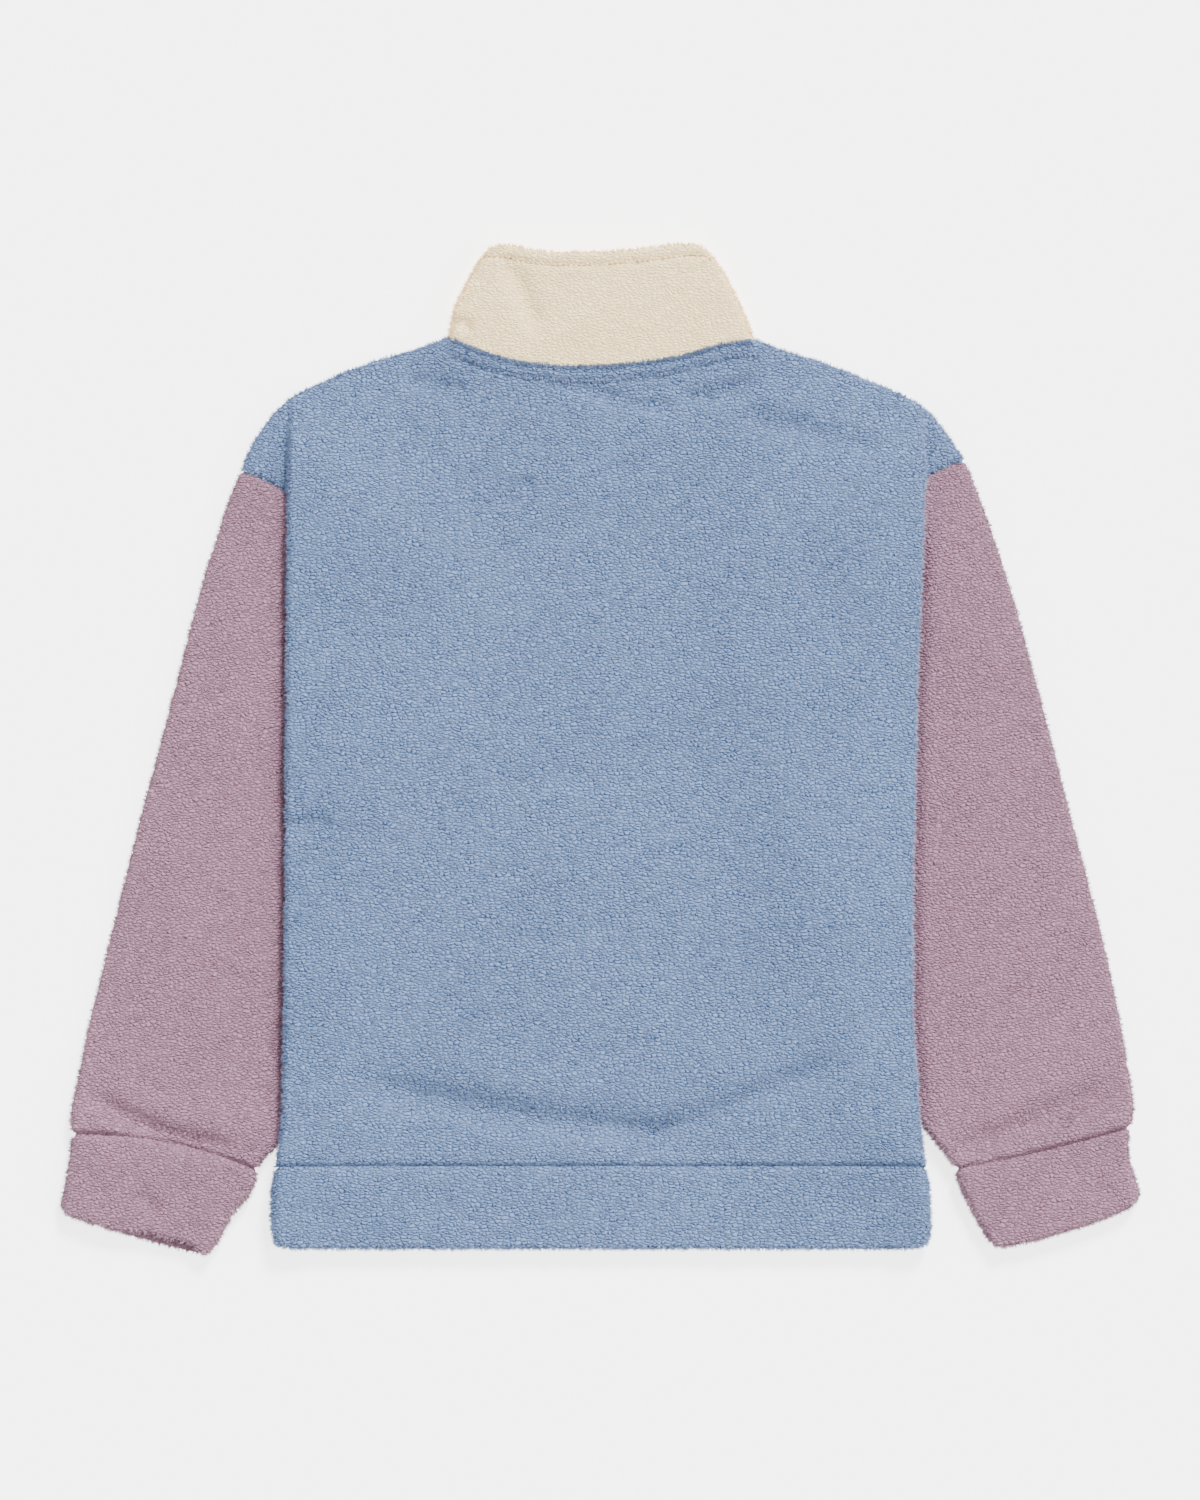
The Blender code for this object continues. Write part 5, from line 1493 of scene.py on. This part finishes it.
class JacketColours(bpy.types.PropertyGroup):
    """Colours of the cloths, the zip and the floor."""

    blue: tint("Body", "Blue pile of the body", (0.174, 0.258, 0.448))
    # Painted shade: the deep colour that the blue pile's crevices and hollows are darkened towards
    blue_deep: tint("Body, deep", "Blue between the curls", (0.031, 0.055, 0.137))
    mauve: tint("Sleeves", "Mauve pile of the sleeves", (0.306, 0.171, 0.233))
    # Painted shade: the deep colour that the mauve pile's crevices and hollows are darkened towards
    mauve_deep: tint("Sleeves, deep", "Mauve between the curls", (0.100, 0.046, 0.071))
    cream: tint("Collar", "Cream pile of the collar", (0.985, 0.775, 0.428))
    # Painted shade: the deep colour that the cream pile's crevices and hollows are darkened towards
    cream_deep: tint("Collar, deep", "Cream between the curls", (0.800, 0.430, 0.200))
    collar_thread: tint("Collar thread", "Stitching round the collar", (0.582, 0.337, 0.182))
    body_thread: tint("Body thread", "Stitching under the neck seam", (0.091, 0.146, 0.273))
    tape: tint("Zip tape", "Woven zip tape", (0.190, 0.260, 0.370))
    metal: tint("Zip metal", "Teeth, slider and tab", (0.560, 0.570, 0.590))
    floor: tint("Floor", "Pale surface under the jacket", (0.90, 0.90, 0.90))


# Piles: colour, the turn of the nap, how much painted shade its crevices and hollows take and the
# strength of its relief
PILES = {
    "blue_pile": ("blue", 0.05, 1.0, 1.0),
    "mauve_pile_left": ("mauve", 0.55, 0.85, 0.85),
    "mauve_pile_right": ("mauve", 0.45, 0.85, 0.85),
    "cream_pile": ("cream", 0.1, 0.30, 0.62),
}
THREAD_ROUGHNESS = 0.7
METAL_ROUGHNESS = 0.32


def finish_named(name):
    """A finish of the jacket, made the first time that a piece asks for it."""
    if name in bpy.data.materials:
        return bpy.data.materials[name]
    sizes = bpy.context.scene.jacket_sizes
    colours = bpy.context.scene.jacket_colours
    pile = name.removesuffix("_tips")
    if pile in PILES:
        group = bpy.data.node_groups.get("nap") or nap_group()
        key, turn, depth, relief = PILES[pile]
        colour, deep = getattr(colours, key), getattr(colours, f"{key}_deep")
        # Fuzz tips: the colour is lightened towards white as painted light, with less painted shade and
        # relief
        if name != pile:
            colour, depth, relief = mix(np.array(colour), 1.0, TIP_PAINTED_LIGHT), TIP_PAINTED_SHADE, TIP_RELIEF
        return fleece_material(name, group, tuple(colour), tuple(deep), turn, sizes, depth, relief)
    if name == "woven_tape":
        return tape_material(name, tuple(colours.tape))
    if name.endswith("_thread"):
        return plain_material(name, tuple(getattr(colours, name)), THREAD_ROUGHNESS)
    return plain_material(name, tuple(colours.metal), METAL_ROUGHNESS, 1.0)


# ---------------------------------------------------------------- operators

Cloth = namedtuple("Cloth", "pile slot turn seed strength sewn tufts fuzz_seed bare")

# Each cloth: its pile and slot, the turn, seed and strength of its curls, which of its two ends are
# sewn, its fuzz's tufts and seed, and which of its ends are bare of fuzz
CLOTHS = {
    "back": Cloth("blue_pile", "blue_fleece", 0.05, 11, 1.0, (1, 0), 5200, 12, (1, 0)),
    "front_left": Cloth("blue_pile", "blue_fleece", 0.05, 21, 1.0, (1, 0), 900, 21, (0, 0)),
    "front_right": Cloth("blue_pile", "blue_fleece", 0.05, 22, 1.0, (1, 0), 900, 22, (0, 0)),
    "sleeve_left": Cloth("mauve_pile_left", "mauve_fleece", 0.55, 31, 0.85, (1, 1), 2700, 31, (1, 1)),
    "sleeve_right": Cloth("mauve_pile_right", "mauve_fleece", 0.45, 32, 0.85, (1, 1), 2700, 32, (1, 1)),
    "cuff_left": Cloth("mauve_pile_left", "mauve_fleece", 0.55, 41, 0.8, (1, 0), 1100, 41, (1, 0)),
    "cuff_right": Cloth("mauve_pile_right", "mauve_fleece", 0.45, 42, 0.8, (1, 0), 1100, 42, (1, 0)),
    "hem_band": Cloth("blue_pile", "blue_fleece", 0.0, 51, 0.9, (1, 0), 3000, 52, (1, 0)),
    "collar": Cloth("cream_pile", "cream_fleece", 0.1, 61, 0.75, (1, 0), 1600, 62, (1, 0)),
}


def lay_cloth(name, points, **shape):
    """Mesh a cloth's grid, raise its pile, and place it with the fuzz of its edges: returns both."""
    row = CLOTHS[name]
    sizes = bpy.context.scene.jacket_sizes
    mesh = surface(f"{name}_cloth", points, **shape)
    sewn = [SEWN_ROWS * points.shape[1] * end for end in row.sewn]
    bare = [BARE_ROWS * points.shape[1] * end for end in row.bare]
    raise_pile(mesh, row.turn, sizes, row.seed, row.strength, sewn)
    fuzz = fringe(f"{name}_fuzz", mesh, row.tufts, sizes, row.fuzz_seed, bare)
    cloth = place(f"{name}_cloth", mesh, finish_named(row.pile), row.slot, nodes=[name])
    # The fuzz takes the tips finish, its colour lightened towards white as painted light
    fuzz = place(f"{name}_fuzz", fuzz, finish_named(f"{row.pile}_tips"), row.slot)
    return cloth, fuzz


class JACKET_OT_back(bpy.types.Operator):
    """Lay the back panel, on top."""

    bl_idname = "jacket.back"
    bl_label = "Back panel"

    def execute(self, context):
        sizes = context.scene.jacket_sizes
        points, keep = panel_points(False, None, sizes.cell / MM)
        piece, fuzz = lay_cloth("back", points, keep=keep)
        start, end = NECK_BACK[0][0] + THREAD_MARGIN, NECK_BACK[-1][0] - THREAD_MARGIN
        x = np.linspace(start, end, NECK_SAMPLES)
        y = curve(NECK_BACK, x)
        z = level_under(piece.data, x, y - NECK_LEVEL_AT) + NECK_STRIP_ABOVE
        hairs = seam_tufts("neck_fuzz", x, y - NECK_STRIP_BELOW, z, NECK_TUFTS, sizes, NECK_SEED)
        # The neck's fuzz takes the tips finish, its colour lightened towards white as painted light
        place("neck_fuzz", hairs, finish_named("blue_pile_tips"), "blue_fleece")
        thread = stitches("neck_stitches", piece.data, x, y - NECK_STITCH, sizes)
        place("neck_stitches", thread, finish_named("body_thread"), "blue_fleece")
        return {"FINISHED"}


class JACKET_OT_fronts(bpy.types.Operator):
    """Lay the two fronts, on the surface."""

    bl_idname = "jacket.fronts"
    bl_label = "Fronts"

    def execute(self, context):
        for side in SIDES:
            points, keep = panel_points(True, side, context.scene.jacket_sizes.under_cell / MM)
            piece, fuzz = lay_cloth(f"front_{side}", points, keep=keep, flip=True)
        return {"FINISHED"}


class JACKET_OT_sleeves(bpy.types.Operator):
    """Lay the sleeves, folded down under the body's sides."""

    bl_idname = "jacket.sleeves"
    bl_label = "Sleeves"

    def execute(self, context):
        for side in SIDES:
            points = sleeve_points(side, context.scene.jacket_sizes.cell / MM)
            piece, fuzz = lay_cloth(f"sleeve_{side}", points, closed=True, flip=side == "right")
        return {"FINISHED"}


class JACKET_OT_cuffs(bpy.types.Operator):
    """Lay the doubled cuffs at the sleeves' ends."""

    bl_idname = "jacket.cuffs"
    bl_label = "Cuffs"

    def execute(self, context):
        for side in SIDES:
            points = cuff_points(side, context.scene.jacket_sizes.cell / MM)
            piece, fuzz = lay_cloth(f"cuff_{side}", points, closed=True, flip=side == "right")
        return {"FINISHED"}


class JACKET_OT_hem_band(bpy.types.Operator):
    """Lay the doubled hem band round the body's lower edge."""

    bl_idname = "jacket.hem_band"
    bl_label = "Hem band"

    def execute(self, context):
        points = hem_points(context.scene.jacket_sizes.cell / MM)
        piece, fuzz = lay_cloth("hem_band", points, flip=True)
        return {"FINISHED"}


class JACKET_OT_collar(bpy.types.Operator):
    """Lay the doubled stand collar."""

    bl_idname = "jacket.collar"
    bl_label = "Collar"

    def execute(self, context):
        sizes = context.scene.jacket_sizes
        piece, fuzz = lay_cloth("collar", collar_points(sizes.cell / MM))
        share = 1 - COLLAR_STITCH / COLLAR_HEIGHT
        x = np.linspace(curve(COLLAR_SIDES["left"], share) + THREAD_MARGIN,
                        curve(COLLAR_SIDES["right"], share) - THREAD_MARGIN, COLLAR_SAMPLES)
        thread = stitches("collar_stitches", piece.data, x, collar_y(x, share), sizes)
        place("collar_stitches", thread, finish_named("collar_thread"), "cream_fleece")
        return {"FINISHED"}


class JACKET_OT_zip(bpy.types.Operator):
    """Finish the zip: tapes, teeth, box, slider and tab."""

    bl_idname = "jacket.zip"
    bl_label = "Zip"

    def execute(self, context):
        tape = finish_named("woven_tape")
        metal = finish_named("zip_metal_satin")
        for name in ("zip_tape_left", "zip_tape_right"):
            repaint(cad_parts[name], tape)
        for name in ("zip_box", "zip_slider", "zip_pull"):
            repaint(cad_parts[name], metal)
        place("zip_teeth", zip_teeth("zip_teeth"), metal, "zip_metal", nodes=["zip_chain"])
        return {"FINISHED"}


def repaint(node, material):
    """Give a CAD node a finish."""
    node.data.materials.clear()
    node.data.materials.append(material)


class JACKET_OT_stage(bpy.types.Operator):
    """Set the pale floor, the soft lights and the camera."""

    bl_idname = "jacket.stage"
    bl_label = "Stage"

    def execute(self, context):
        colours = context.scene.jacket_colours
        floor = bpy.data.meshes.new("floor")
        corners = ((-1, -1), (1, -1), (1, 1), (-1, 1))
        floor.from_pydata([(FLOOR_HALF * x, FLOOR_HALF * y, 0) for x, y in corners], [], [(0, 1, 2, 3)])
        material, _, shader = new_material("floor")
        set_sockets(shader, {
            "Base Color": (*colours.floor, 1.0), "Roughness": 0.9, "Emission Color": WHITE,
            "Emission Strength": FLOOR_GLOW,
        })
        floor.materials.append(material)
        ground = bpy.data.objects.new("floor", floor)
        ground.location = (0.0, 0.0, FLOOR_LEVEL)
        context.scene.collection.objects.link(ground)

        world = context.scene.world or bpy.data.worlds.new("studio")
        context.scene.world = world
        world.use_nodes = True
        sky = world.node_tree.nodes["Background"]
        set_sockets(sky, {"Color": WHITE, "Strength": SKY_STRENGTH})

        for name, azimuth, elevation, strength, softness in LIGHTS:
            light = bpy.data.lights.new(name, "SUN")
            light.energy = strength
            light.angle = math.radians(softness)
            lamp = bpy.data.objects.new(name, light)
            lamp.rotation_euler = (math.radians(90 - elevation), 0.0, math.radians(azimuth))
            context.scene.collection.objects.link(lamp)

        camera = bpy.data.cameras.new("camera")
        camera.sensor_width = CAMERA_SENSOR
        camera.lens = CAMERA_LENS
        camera.clip_end = CAMERA_REACH
        eye = bpy.data.objects.new("camera", camera)
        eye.location = (0.0, 0.0, CAMERA_LEVEL)
        context.scene.collection.objects.link(eye)
        context.scene.camera = eye
        return {"FINISHED"}


class JACKET_PT_panel(bpy.types.Panel):
    """The jacket's sizes, colours and pieces."""

    bl_idname = "JACKET_PT_panel"
    bl_label = "Jacket"
    bl_space_type = "VIEW_3D"
    bl_region_type = "UI"
    bl_category = "Jacket"

    def draw(self, context):
        for settings in (context.scene.jacket_sizes, context.scene.jacket_colours):
            for name in settings.__annotations__:
                self.layout.prop(settings, name)
        for operator in PIECES:
            self.layout.operator(operator.bl_idname)


PIECES = (
    JACKET_OT_back, JACKET_OT_fronts, JACKET_OT_sleeves, JACKET_OT_cuffs, JACKET_OT_hem_band,
    JACKET_OT_collar, JACKET_OT_zip, JACKET_OT_stage,
)
CLASSES = (JacketSizes, JacketColours) + PIECES + (JACKET_PT_panel,)


def register():
    for cls in CLASSES:
        bpy.utils.register_class(cls)
    bpy.types.Scene.jacket_sizes = PointerProperty(type=JacketSizes)
    bpy.types.Scene.jacket_colours = PointerProperty(type=JacketColours)


def unregister():
    del bpy.types.Scene.jacket_colours
    del bpy.types.Scene.jacket_sizes
    for cls in reversed(CLASSES):
        bpy.utils.unregister_class(cls)


def main():
    register()
    for operator in PIECES:
        group, name = operator.bl_idname.split(".")
        getattr(getattr(bpy.ops, group), name)()


if __name__ == "__main__":
    main()
